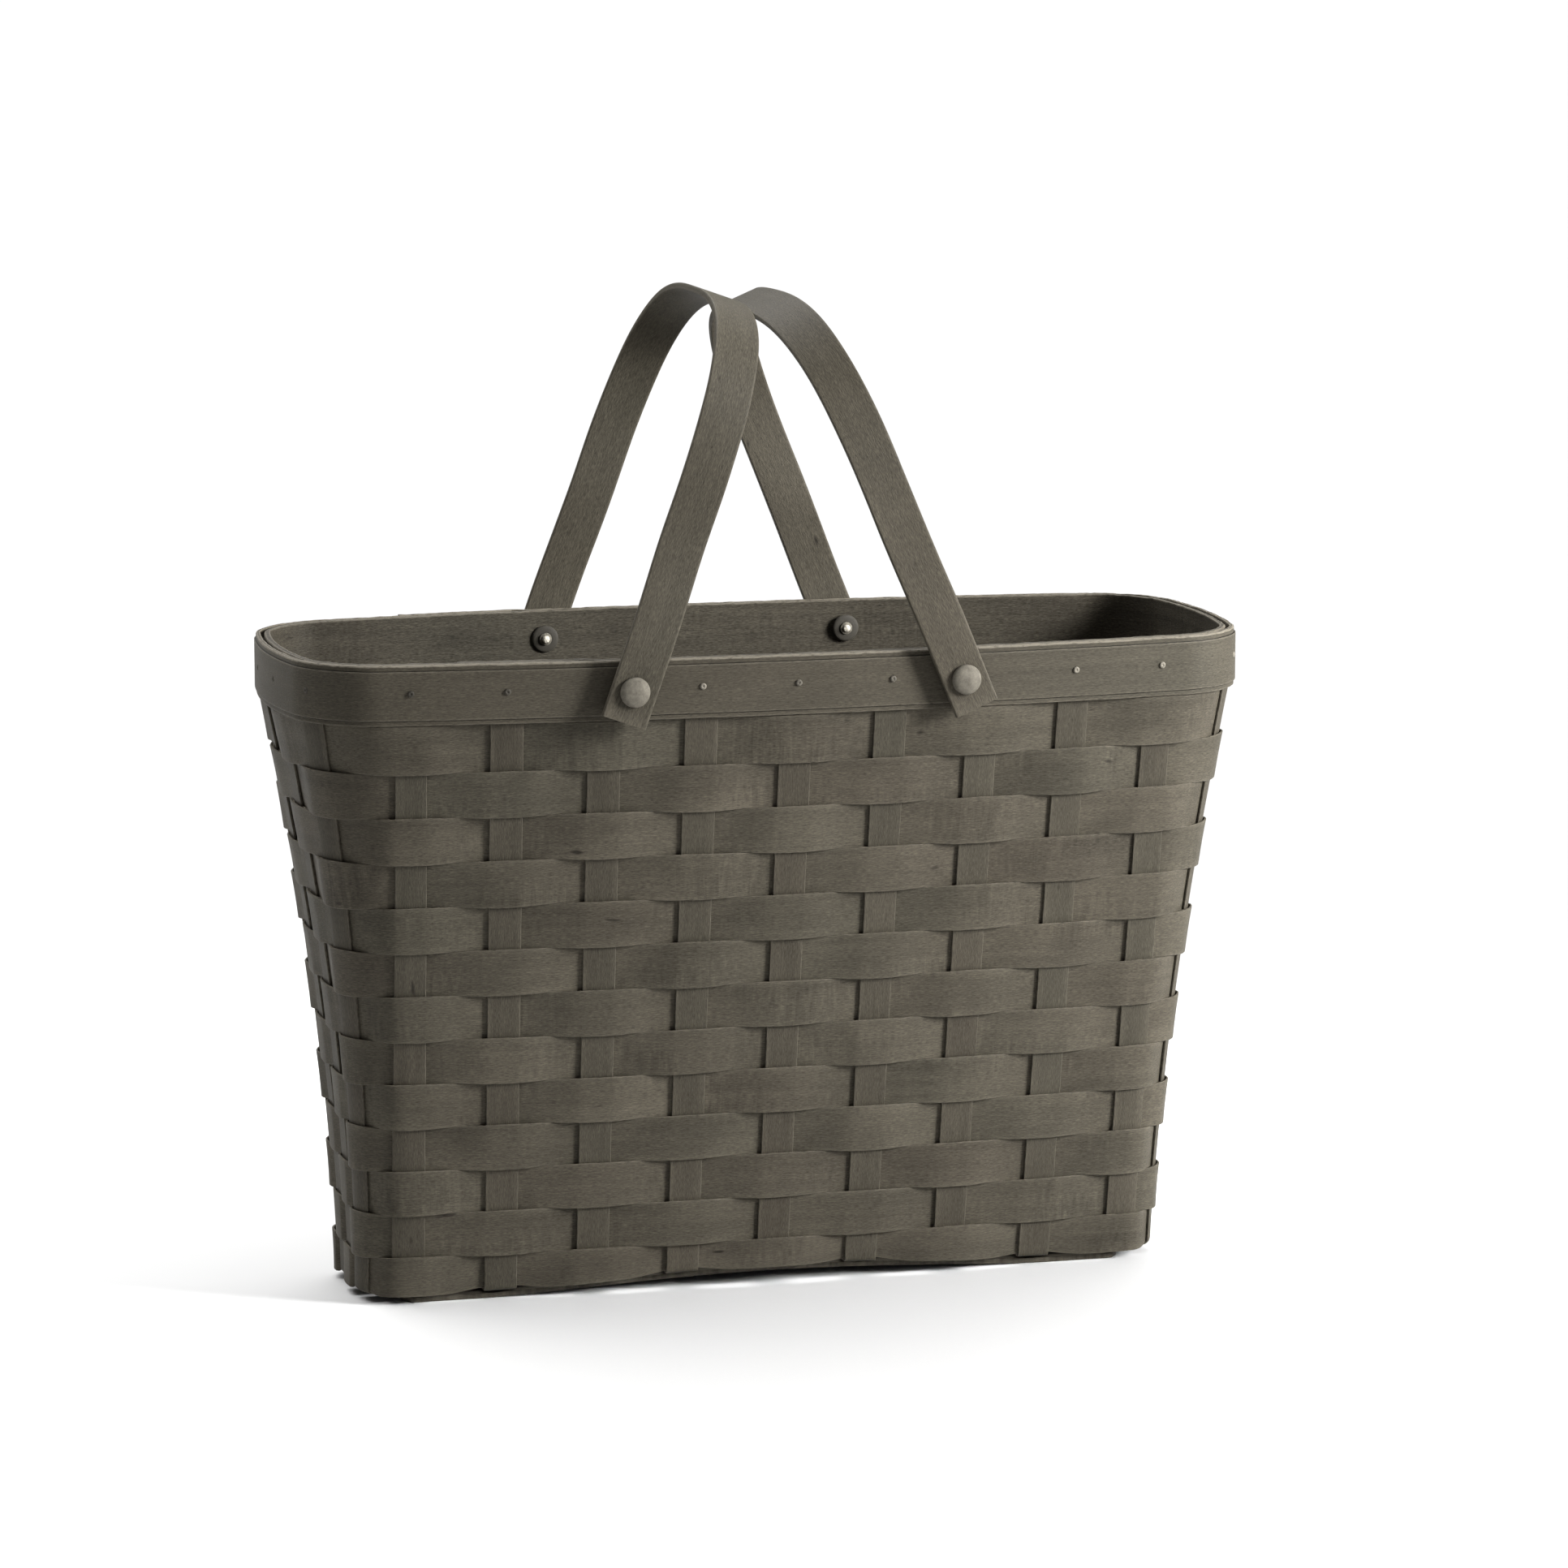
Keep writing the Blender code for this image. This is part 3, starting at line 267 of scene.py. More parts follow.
SETTINGS = (("tote_walls", TOTE_PG_walls), ("tote_splints", TOTE_PG_splints),
            ("tote_board", TOTE_PG_board), ("tote_rim", TOTE_PG_rim),
            ("tote_handles", TOTE_PG_handles), ("tote_metal", TOTE_PG_metal),
            ("tote_stain", TOTE_PG_stain), ("tote_stage", TOTE_PG_stage))


# Shape of the basket

def between(low, high, part):
    return low + (high - low) * part


def ease(part):
    return part * part * (3 - 2 * part)


class Basket:
    """The walls, floor and rim as formulas, from the settings of a scene."""

    def __init__(self, scene):
        self.walls = scene.tote_walls
        self.splints = scene.tote_splints
        self.board = scene.tote_board
        self.rim = scene.tote_rim
        self.handles = scene.tote_handles
        self.metal = scene.tote_metal
        splints, rim, handles = self.splints, self.rim, self.handles
        self.uprights = 2 * (splints.cross_stakes + splints.long_stakes)
        self.middle_stake = (splints.cross_stakes + 1) // 2
        self.wall_top = splints.row_base + splints.rows * splints.row_pitch
        self.hoop_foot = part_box("outer_hoop")[0].z
        self.hoop_top = self.hoop_foot + rim.height
        self.stake_top = self.hoop_top - splints.stake_setback
        self.pivot_z = self.hoop_foot + handles.pivot_height
        self.tack_z = self.hoop_foot + rim.tack_height
        self.weave_offset = (splints.stake_thickness + splints.weaver_thickness) / 2
        self.weave_offset += splints.weave_gap
        self.floor_wave = splints.stake_thickness + splints.seat_gap
        self.floor_base = self.board.thickness + splints.seat_gap
        self.floor_base += splints.stake_thickness / 2 + self.floor_wave
        self.hoop_seat = splints.stake_thickness / 2 + splints.seat_gap
        self.outer_face = self.hoop_seat + rim.outer_thickness
        self.inner_face = self.hoop_seat + rim.inner_thickness
        self.board_half_length = self.walls.base_half_length - self.board.end_setback
        self.board_half_depth = self.walls.base_half_depth - self.board.side_setback
        self.pivot_half_spacing = handles.stakes_out * self.side_pitch(self.wall_top)
        self.pivot_half_spacing -= handles.pivot_inset
        bow = self.walls.rim_side_bow * (self.pivot_half_spacing / self.walls.bow_reach) ** 2
        self.rim_depth = self.walls.rim_half_depth - bow
        face = self.rim_depth + self.outer_face + handles.standoff
        self.half_span = face + handles.thickness / 2

    def rise_share(self, z):
        return min(max(z / self.wall_top, 0.0), 1.0)

    def half_length(self, z):
        flare = self.rise_share(z) ** self.walls.end_flare_power
        return between(self.walls.base_half_length, self.walls.rim_half_length, flare)

    def half_depth(self, z):
        return between(self.walls.base_half_depth, self.walls.rim_half_depth, self.rise_share(z))

    def corner_radius(self, z):
        return between(self.walls.base_corner_radius, self.walls.rim_corner_radius,
                       self.rise_share(z))

    def side_bow(self, z):
        return between(self.walls.base_side_bow, self.walls.rim_side_bow, self.rise_share(z))

    def end_bow(self, z):
        return self.walls.rim_end_bow * self.rise_share(z) ** self.walls.end_flare_power

    def side_run(self, z):
        return self.half_length(z) - self.corner_radius(z)

    def quarter_run(self, z):
        """Length of the plan line from the front middle round to the right end's middle."""
        corner = self.corner_radius(z)
        return self.side_run(z) + corner * math.pi / 2 + self.half_depth(z) - corner

    def quarter_point(self, z, run):
        """Point of the plan line at a run from the front middle, as positive x and y."""
        radius = self.corner_radius(z)
        past_side = run - self.side_run(z)
        if past_side <= 0:
            x, y = run, self.half_depth(z)
        elif past_side <= radius * math.pi / 2:
            turn = past_side / radius
            x = self.side_run(z) + radius * math.sin(turn)
            y = self.half_depth(z) - radius + radius * math.cos(turn)
        else:
            x, y = self.half_length(z), self.quarter_run(z) - run
        draw_in = self.side_bow(z) / self.half_depth(z) * (x / self.walls.bow_reach) ** 2
        toward_end = (x / self.half_length(z)) ** self.walls.end_bow_power
        round_off = self.end_bow(z) * toward_end * (y / self.half_depth(z)) ** 2
        return x - round_off, y * (1 - draw_in)

    def plan_point(self, z, run):
        """Point of the whole plan line, measured anticlockwise from the front middle."""
        quarter = self.quarter_run(z)
        quadrant, along = divmod(run % (4 * quarter), quarter)
        back_run = quadrant in (1, 3)
        x, y = self.quarter_point(z, quarter - along if back_run else along)
        sign_x = 1 if quadrant in (0, 1) else -1
        sign_y = 1 if quadrant in (1, 2) else -1
        return sign_x * x, sign_y * y

    def wall_normal(self, z, run):
        x0, y0 = self.plan_point(z, run - PROBE)
        x1, y1 = self.plan_point(z, run + PROBE)
        return Vector((y1 - y0, x0 - x1, 0)).normalized()

    def wall_point(self, z, run, offset=0.0):
        x, y = self.plan_point(z, run)
        return Vector((x, y, z)) + self.wall_normal(z, run) * offset

    def floor_rise(self, x):
        """How far the board and the woven floor arch up above their flat ends."""
        reach = self.board_half_length * (1 - 2 / self.board.arch_steps)
        part = min(abs(x) / reach, 1.0)
        return self.board.rise * (1 - part ** 2) ** 2

    def floor_level(self, x):
        return self.floor_base + self.floor_rise(x)

    def side_pitch(self, z):
        gaps = (self.splints.cross_stakes - 1) / 2
        base = (self.walls.base_half_length - self.splints.base_corner_inset) / gaps
        rim = (self.walls.rim_half_length - self.splints.rim_corner_inset) / gaps
        return between(base, rim, self.rise_share(z))

    def end_pitch(self, z):
        gaps = (self.splints.long_stakes - 1) / 2
        base = (self.walls.base_half_depth - self.splints.base_end_inset) / gaps
        rim = (self.walls.rim_half_depth - self.splints.rim_end_inset) / gaps
        return between(base, rim, self.rise_share(z))

    def upright_runs(self, z):
        """Runs of the uprights' middles: front, right end, back and left end, in one round."""
        quarter = self.quarter_run(z)
        sides = self.splints.cross_stakes
        ends = self.splints.long_stakes
        side = [(step - (sides - 1) / 2) * self.side_pitch(z) for step in range(sides)]
        end = [(step - (ends - 1) / 2) * self.end_pitch(z) for step in range(ends)]
        runs = list(side)
        runs += [quarter + step for step in end]
        runs += [2 * quarter + step for step in side]
        runs += [3 * quarter + step for step in end]
        return runs

    def cross_stake_x(self, number):
        base = self.side_pitch(0.0)
        return (number - self.middle_stake) * base

    def is_end_upright(self, upright):
        sides, ends = self.splints.cross_stakes, self.splints.long_stakes
        return sides <= upright < sides + ends or upright >= self.uprights - ends

    def right_yaw(self):
        return math.atan2(self.handles.back_right_setback, 2 * self.half_span)

    def pivot_lines(self):
        """Middle and turn of the pivot lines of the left and the right handle."""
        shift = self.handles.back_right_setback / 2
        return {"left": (-self.pivot_half_spacing, 0.0),
                "right": (self.pivot_half_spacing - shift, self.right_yaw())}

    def line_point(self, side, reach):
        middle, yaw = self.pivot_lines()[side]
        direction = Vector((-math.sin(yaw), math.cos(yaw), 0))
        return Vector((middle, 0, self.pivot_z)) + direction * reach

    def right_lean(self):
        """Lean at which the right handle's crown comes to rest beside the left one's."""
        crown = self.handles.rise + self.handles.thickness / 2
        half = self.handles.width / 2
        lines = self.pivot_lines()
        lean = self.handles.left_lean
        left_reach = crown * math.sin(lean) + half * math.cos(lean)
        needed = lines["right"][0] - lines["left"][0] - left_reach - self.handles.crown_gap
        return math.asin(needed / math.hypot(crown, half)) - math.atan2(half, crown)


# Making and finishing pieces

BEVEL_DEGREES = 50.0
SPLINT_SHARP_DEGREES = 40.0
BENT_SHARP_DEGREES = 35.0
METAL_SHARP_DEGREES = 50.0


def shaped_grid(name, along, across, place, closed_along=False, closed_across=False):
    """A grid bent into shape. Place gives each vertex, by its step along and across, its point,
    its place on the flat splint and how worn it is."""
    sheet = bmesh.new()
    grain = sheet.loops.layers.uv.new(GRAIN_MAP)
    worn = sheet.verts.layers.float.new(EDGE_MASK)
    bmesh.ops.create_grid(sheet, x_segments=along, y_segments=across, size=1.0)
    flat = {}
    for vert in sheet.verts:
        station = round((vert.co.x + 1) / 2 * along)
        lane = round((vert.co.y + 1) / 2 * across)
        vert.co, flat[vert], vert[worn] = place(station, lane)
    for face in sheet.faces:
        for loop in face.loops:
            loop[grain].uv = flat[loop.vert]
    if closed_along or closed_across:
        bmesh.ops.remove_doubles(sheet, verts=sheet.verts, dist=MERGE)
    if closed_across and not closed_along:
        rims = [edge for edge in sheet.edges if edge.is_boundary]
        bmesh.ops.holes_fill(sheet, edges=rims, sides=0)
    bmesh.ops.recalc_face_normals(sheet, faces=sheet.faces)
    return new_piece(name, sheet)


def new_piece(name, body):
    mesh = bpy.data.meshes.new(name)
    body.to_mesh(mesh)
    body.free()
    piece = bpy.data.objects.new(name, mesh)
    bpy.context.scene.collection.objects.link(piece)
    return piece


def thicken(piece, thickness, edge_round, segments=2):
    """Gives a sheet its thickness and rounded edges."""
    solid = piece.modifiers.new("thickness", "SOLIDIFY")
    solid.thickness = thickness
    solid.offset = 0.0
    solid.use_even_offset = True
    bevel = piece.modifiers.new("edges", "BEVEL")
    bevel.width = edge_round
    bevel.segments = segments
    bevel.profile = 0.5
    bevel.limit_method = "ANGLE"
    bevel.angle_limit = math.radians(BEVEL_DEGREES)


def settle(piece, sharp_degrees=SPLINT_SHARP_DEGREES):
    """Applies a piece's modifiers and smooths all but its sharp edges."""
    bpy.context.view_layer.update()
    shape = piece.evaluated_get(bpy.context.evaluated_depsgraph_get())
    mesh = bpy.data.meshes.new_from_object(shape)
    mesh.name = piece.name
    old = piece.data
    piece.modifiers.clear()
    piece.data = mesh
    bpy.data.meshes.remove(old)
    mesh.shade_smooth()
    mesh.set_sharp_from_angle(angle=math.radians(sharp_degrees))


def drill(piece, radius, length_through, places, steps=24):
    """Sets round holes to be drilled, each along the local Z of its place, and returns the drill."""
    pins = bmesh.new()
    for place in places:
        bmesh.ops.create_cone(pins, cap_ends=True, segments=steps, radius1=radius,
                              radius2=radius, depth=length_through, matrix=place)
    cutter = new_piece(piece.name + "_drill", pins)
    hole = piece.modifiers.new("holes", "BOOLEAN")
    hole.operation = "DIFFERENCE"
    hole.solver = "EXACT"
    hole.object = cutter
    return cutter


def outward_place(point, normal):
    turn = normal.to_track_quat("Z", "Y").to_matrix().to_4x4()
    return Matrix.Translation(point) @ turn


def finish_drilled(piece, cutter):
    """Applies the holes and takes the drill away."""
    settle(piece, BENT_SHARP_DEGREES)
    bpy.data.objects.remove(cutter, do_unlink=True)


def turned(name, profile, steps, place):
    """Round body from a profile of (radius, height) points, set in a place."""
    body = bmesh.new()
    points = [body.verts.new((radius, 0, height)) for radius, height in profile]
    edges = [body.edges.new(pair) for pair in zip(points, points[1:])]
    if profile[0][0] > 0 and profile[-1][0] > 0:
        edges.append(body.edges.new((points[-1], points[0])))
    bmesh.ops.spin(body, geom=points + edges, cent=(0, 0, 0), axis=(0, 0, 1),
                   angle=2 * math.pi, steps=steps, use_merge=True)
    bmesh.ops.remove_doubles(body, verts=body.verts, dist=MERGE)
    bmesh.ops.recalc_face_normals(body, faces=body.faces)
    bmesh.ops.transform(body, matrix=place, verts=body.verts)
    return new_piece(name, body)


def dress(piece, material, body, slot, *nodes):
    """Gives a piece its material and ties it to the frame."""
    piece.data.materials.clear()
    piece.data.materials.append(material)
    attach(piece, body)
    if nodes:
        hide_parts(*nodes)


def wander(scale, *place):
    """Smooth noise from -1 to 1 at a place."""
    return noise.noise(Vector(place) * scale)


# Materials

class Nodes:
    """Adds nodes to a tree and links them."""

    def __init__(self, tree):
        self.tree = tree

    def add(self, kind, **values):
        node = self.tree.nodes.new(kind)
        for key, value in values.items():
            setattr(node, key, value)
        return node

    def feed(self, node, socket, value):
        if isinstance(value, bpy.types.NodeSocket):
            self.tree.links.new(value, node.inputs[socket])
        else:
            node.inputs[socket].default_value = value

    def math(self, operation, first, second=0.0, third=0.0, clamp=False):
        node = self.add("ShaderNodeMath", operation=operation, use_clamp=clamp)
        for socket, value in enumerate((first, second, third)):
            self.feed(node, socket, value)
        return node.outputs[0]

    def stretched(self, vector, scale, detail=3.0, roughness=0.55, distortion=0.0):
        """Noise drawn out by a scale along and across the grain."""
        mapping = self.add("ShaderNodeMapping")
        self.feed(mapping, "Vector", vector)
        mapping.inputs["Scale"].default_value = scale
        texture = self.add("ShaderNodeTexNoise")
        self.feed(texture, "Vector", mapping.outputs["Vector"])
        texture.inputs["Scale"].default_value = 1.0
        texture.inputs["Detail"].default_value = detail
        texture.inputs["Roughness"].default_value = roughness
        texture.inputs["Distortion"].default_value = distortion
        return texture.outputs["Fac"]

    def mix(self, factor, first, second, blend="MIX"):
        node = self.add("ShaderNodeMix", data_type="RGBA", blend_type=blend)
        self.feed(node, "Factor", factor)
        colours = [socket for socket in node.inputs if socket.type == "RGBA"]
        for socket, value in zip(colours, (first, second)):
            if isinstance(value, bpy.types.NodeSocket):
                self.tree.links.new(value, socket)
            else:
                socket.default_value = value
        return next(socket for socket in node.outputs if socket.type == "RGBA")


def new_material(name):
    """A material, its nodes and its shader."""
    material = bpy.data.materials.new(name)
    material.use_nodes = True
    return material, Nodes(material.node_tree), material.node_tree.nodes["Principled BSDF"]


def add_bump(nodes, shader, distance, height):
    bump = nodes.add("ShaderNodeBump")
    bump.inputs["Distance"].default_value = distance
    bump.inputs["Strength"].default_value = 1.0
    nodes.feed(bump, "Height", height)
    nodes.feed(shader, "Normal", bump.outputs["Normal"])


def add_sockets(group, direction, kind, labels):
    for label in labels:
        group.interface.new_socket(name=label, in_out=direction, socket_type=kind)


# Scale along and across the grain, in cycles per metre, detail, roughness and distortion
GRAIN_NOISES = {
    "fine": ((420.0, 2500.0, 1.0), 2.0, 0.6),
    "fibre": ((140.0, 1150.0, 1.0), 3.0, 0.6, 0.3),
    "streak": ((10.0, 230.0, 1.0), 3.0, 0.55, 0.7),
    "ripple": ((290.0, 42.0, 1.0), 3.0, 0.6, 0.9),
    "patch": ((17.0, 30.0, 1.0), 1.0),
    "tone": ((16.0, 22.0, 1.0), 2.0, 0.5, 0.3),
    "cast": ((6.0, 5.0, 1.0), 1.0),
    "pore": ((420.0, 3100.0, 1.0), 2.0, 0.5),
    "knot": ((45.0, 130.0, 1.0), 1.0, 0.5),
    "fuzz": ((300.0, 1100.0, 1.0), 3.0, 0.6),
}
# How sharply these noises set in, and how late
GRAIN_MASKS = {"patch": (5.0, -2.4), "cast": (2.4, -0.8), "pore": (8.0, -4.7),
               "knot": (22.0, -16.6), "fuzz": (3.0, -0.9)}
COARSE_FIBRE_SHARE = 0.5
PORE_SHARE = 0.7
KNOT_SHARE = 0.85
# How far the painted shade with stain darkens inner corners
CORNER_STAIN_AND_SHADE_SHARE = 0.9
PORE_DEPTH_SHARE = 0.6
LEAST_ROUGHNESS = 0.46
ROUGHNESS_SPREAD = 0.25
COOL_TINT = (0.985, 0.995, 0.98, 1.0)
WARM_TINT = (1.02, 0.99, 0.98, 1.0)
WOOD_SPECULAR = 0.10


def grain_group():
    """Stained splint: pores, fibres, long streaks, rippled figure, knots, worn edges and painted
    shade in inner corners.
    """
    name = "stained_grain"
    if name in bpy.data.node_groups:
        return bpy.data.node_groups[name]
    group = bpy.data.node_groups.new(name, "ShaderNodeTree")
    add_sockets(group, "INPUT", "NodeSocketVector", ["Grain"])
    add_sockets(group, "INPUT", "NodeSocketFloat",
                ["Edge", "Fibre", "Streak", "Figure", "Tone", "Wear"])
    add_sockets(group, "INPUT", "NodeSocketColor", ["Dark", "Middle", "Light", "Bare"])
    add_sockets(group, "OUTPUT", "NodeSocketColor", ["Colour"])
    add_sockets(group, "OUTPUT", "NodeSocketFloat", ["Roughness", "Height"])
    nodes = Nodes(group)
    source = nodes.add("NodeGroupInput").outputs
    noises = {key: nodes.stretched(source["Grain"], *look) for key, look in GRAIN_NOISES.items()}
    for key, (gain, start) in GRAIN_MASKS.items():
        noises[key] = nodes.math("MULTIPLY_ADD", noises[key], gain, start, clamp=True)
    figure = nodes.math("MULTIPLY", source["Figure"], noises["patch"])
    wood = stained_colour(nodes, source, noises, figure)
    sink = nodes.add("NodeGroupOutput")
    nodes.feed(sink, "Colour", worn_colour(nodes, source, noises, wood))
    nodes.feed(sink, "Roughness", nodes.math("MULTIPLY_ADD", noises["fibre"], ROUGHNESS_SPREAD,
                                             LEAST_ROUGHNESS))
    nodes.feed(sink, "Height", grain_height(nodes, noises, figure))
    return group


def stained_colour(nodes, source, noises, figure):
    """Colour of the stain, from dark to light by the weight of each noise."""
    coarse = nodes.math("MULTIPLY", source["Fibre"], COARSE_FIBRE_SHARE)
    total = 0.5
    for key, weight in (("fine", source["Fibre"]), ("fibre", coarse),
                        ("streak", source["Streak"]), ("ripple", figure),
                        ("tone", source["Tone"])):
        part = nodes.math("MULTIPLY", nodes.math("SUBTRACT", noises[key], 0.5), weight)
        total = nodes.math("ADD", total, part)
    lower = nodes.math("MULTIPLY", total, 2.0, clamp=True)
    upper = nodes.math("MULTIPLY_ADD", total, 2.0, -1.0, clamp=True)
    wood = nodes.mix(upper, nodes.mix(lower, source["Dark"], source["Middle"]), source["Light"])
    tint = nodes.mix(noises["cast"], COOL_TINT, WARM_TINT)
    return nodes.mix(1.0, wood, tint, "MULTIPLY")


def worn_colour(nodes, source, noises, wood):
    """Pores and knots in the stained wood, bare wood at worn edges, and painted shade with stain in
    inner corners.
    """
    stain = bpy.context.scene.tote_stain
    wood = nodes.mix(nodes.math("MULTIPLY", noises["pore"], PORE_SHARE), wood, source["Dark"])
    knots = nodes.math("MULTIPLY", noises["knot"], KNOT_SHARE)
    wood = nodes.mix(knots, wood, tuple(stain.knot))
    rubbed = nodes.math("MAXIMUM", source["Edge"], 0.0)
    worn = nodes.math("MULTIPLY", nodes.math("MULTIPLY", rubbed, source["Wear"]), noises["fuzz"])
    wood = nodes.mix(worn, wood, source["Bare"])
    # A negative edge mask paints shade, with the stain left there, into inner corners
    gathered = nodes.math("MULTIPLY", source["Edge"], -CORNER_STAIN_AND_SHADE_SHARE, clamp=True)
    return nodes.mix(gathered, wood, tuple(stain.gathered))


def grain_height(nodes, noises, figure):
    """Height of the fibres and ripples, with the pores sunk in."""
    height = nodes.math("ADD", nodes.math("MULTIPLY", noises["fine"], 0.5),
                        nodes.math("MULTIPLY", noises["fibre"], 0.5))
    sunk = nodes.math("MULTIPLY", noises["pore"], PORE_DEPTH_SHARE)
    height = nodes.math("SUBTRACT", height, sunk)
    return nodes.math("ADD", height, nodes.math("MULTIPLY", noises["ripple"], figure))


def wood_material(name, shade=1.0, relief=1.0, **strengths):
    """Stained wood with its grain in these strengths. Shade darkens or lightens all the stain,
    and relief deepens the grain."""
    if name in bpy.data.materials:
        return bpy.data.materials[name]
    stain = bpy.context.scene.tote_stain
    material, nodes, shader = new_material(name)
    flat = nodes.add("ShaderNodeUVMap", uv_map=GRAIN_MAP)
    edge = nodes.add("ShaderNodeAttribute", attribute_name=EDGE_MASK)
    group = nodes.add("ShaderNodeGroup", node_tree=grain_group())
    nodes.feed(group, "Grain", flat.outputs["UV"])
    nodes.feed(group, "Edge", edge.outputs["Fac"])
    for socket, value in strengths.items():
        nodes.feed(group, socket.capitalize(), value)
    for socket, value in (("Dark", stain.dark), ("Middle", stain.middle),
                          ("Light", stain.light), ("Bare", stain.edge)):
        group.inputs[socket].default_value = [part * shade for part in value[:3]] + [1.0]
    nodes.feed(shader, "Base Color", group.outputs["Colour"])
    nodes.feed(shader, "Roughness", group.outputs["Roughness"])
    add_bump(nodes, shader, stain.relief * relief, group.outputs["Height"])
    shader.inputs["Specular IOR Level"].default_value = WOOD_SPECULAR
    return material


RIVET_STAIN_SHARE = 0.42
RIVET_STAIN_SCALE = 420.0
WASHER_STAIN_SHARE = 1.30
WASHER_STAIN_SCALE = 380.0
# The shadowed tack is covered in dark colour as painted shade of the hole it sits in
TACK_STAIN_SHARES = {"bright": 0.30, "dulled": 0.60, "stained": 0.85, "sunken": 1.30}
TACK_STAIN_SCALE = 900.0
SCRATCH_STRETCH = (9.0, 2.0, 3.0)
CLOUD_SHARE = 1.4
SCRATCH_SHARE = 0.8
COVER_GAIN = 2.2
COVER_START = -1.7
METAL_ROUGHNESS = 0.55
METAL_ROUGHNESS_SPREAD = 0.30
METALLIC = 0.45
METAL_SPECULAR = 0.25


def metal_material(name, stained, scale, bare, film):
    """Dull metal in the colour that bare names, with a film of the colour that film names left
    on it, from 0 bare to 1 covered."""
    if name in bpy.data.materials:
        return bpy.data.materials[name]
    stain = bpy.context.scene.tote_stain
    material, nodes, shader = new_material(name)
    place = nodes.add("ShaderNodeTexCoord").outputs["Object"]
    cloud = nodes.stretched(place, (scale, scale, scale), 4.0, 0.6)
    scratch = nodes.stretched(place, [scale * stretch for stretch in SCRATCH_STRETCH], 3.0, 0.6)
    cover = nodes.math("ADD", nodes.math("MULTIPLY", cloud, CLOUD_SHARE),
                       nodes.math("MULTIPLY", scratch, SCRATCH_SHARE))
    cover = nodes.math("ADD", cover, stained * COVER_GAIN + COVER_START, clamp=True)
    rubbed = nodes.add("ShaderNodeAttribute", attribute_name=EDGE_MASK).outputs["Fac"]
    cover = nodes.math("SUBTRACT", cover, rubbed, clamp=True)
    clean = nodes.mix(rubbed, tuple(getattr(stain, bare)), tuple(stain.bright))
    nodes.feed(shader, "Base Color", nodes.mix(cover, clean, tuple(getattr(stain, film))))
    nodes.feed(shader, "Roughness", nodes.math("MULTIPLY_ADD", cloud, METAL_ROUGHNESS_SPREAD,
                                               METAL_ROUGHNESS))
    nodes.feed(shader, "Metallic", nodes.math("MULTIPLY_ADD", cover, -METALLIC, METALLIC))
    shader.inputs["Specular IOR Level"].default_value = METAL_SPECULAR
    add_bump(nodes, shader, bpy.context.scene.tote_metal.relief, scratch)
    return material


def weaver_wood():
    return wood_material("weaver_splint_stained", fibre=1.40, streak=0.40, figure=1.00,
                         tone=0.85, wear=0.35)


def stake_wood():
    return wood_material("stake_splint_stained", fibre=1.25, streak=0.34, figure=0.20,
                         tone=0.40, wear=0.45, shade=0.87)


def outer_hoop_wood():
    return wood_material("outer_hoop_stained", fibre=1.20, streak=0.36, figure=0.25,
                         tone=0.45, wear=1.0, shade=0.97)


# The inner hoop's darker stain (shade 0.78) is painted shade for the inside of the basket; its
# coarser grain is the wood's own
def inner_hoop_wood():
    return wood_material("inner_hoop_stained", fibre=2.00, streak=0.80, figure=0.80,
                         tone=0.60, wear=1.0, shade=0.78, relief=1.3)


def handle_wood():
    return wood_material("handle_stained", fibre=1.60, streak=0.44, figure=0.15,
                         tone=0.45, wear=0.30)


def board_wood():
    return wood_material("board_stained", fibre=0.75, streak=0.55, figure=0.25,
                         tone=0.50, wear=0.40, shade=0.85, relief=1.1)


def rivet_metal():
    return metal_material("rivet_metal_worn", RIVET_STAIN_SHARE, RIVET_STAIN_SCALE,
                          "rivet", "tarnish")


def washer_metal():
    return metal_material("washer_metal_stained", WASHER_STAIN_SHARE, WASHER_STAIN_SCALE,
                          "rivet", "washer")


def tack_metal(finish):
    """Metal of a tack: bright, dulled or stained, or painted dark as the shade of the hole it sits
    in.
    """
    # The shadowed tack takes the dark washer colours as painted shade
    colours = ("rivet", "washer") if finish == "sunken" else ("metal", "tarnish")
    return metal_material(f"tack_metal_{finish}", TACK_STAIN_SHARES[finish], TACK_STAIN_SCALE,
                          *colours)


# Woven walls

def weave_side(row, upright):
    """1 where the row's weaver passes outside the upright, -1 where it passes inside."""
    return 1 if (row + upright) % 2 else -1


HALF_STEPS = 4
GAP_STEPS = 10
LANE_SHARES = (0.0, 0.03, 0.12, 0.3, 0.5, 0.7, 0.88, 0.97, 1.0)
LANE_WEAR_SHARES = (1.0, 0.3, 0.0, 0.0, 0.0, 0.0, 0.0, 0.3, 1.0)
WEAVER_LANES = len(LANE_SHARES) - 1
DRIFT_SCALE = 11.0
DRIFT_SPREAD = 0.25
FRAY_SCALE = 190.0
FINE_FRAY_SCALE = 620.0
FINE_FRAY_SHARE = 0.6
WARP_SCALE = 45.0
WARP_ROW_STEP = 0.09
WARP_LANE_STEP = 0.01
VIGOUR_SHARE = 0.5
VIGOUR_SEEDS = (7.3, 3.1, 0.5)
SLANT_SHARE = 0.5
SLANT_SEEDS = (3.9, 5.7, 1.5)
CROSSING_EASE_SHARE = 0.2
TUCK_START_SHARE = 0.35
TUCK_POWER = 1.5
# How far apart on the sheet of grain the rows are cut
ROW_CUT = (3.7, 0.31)


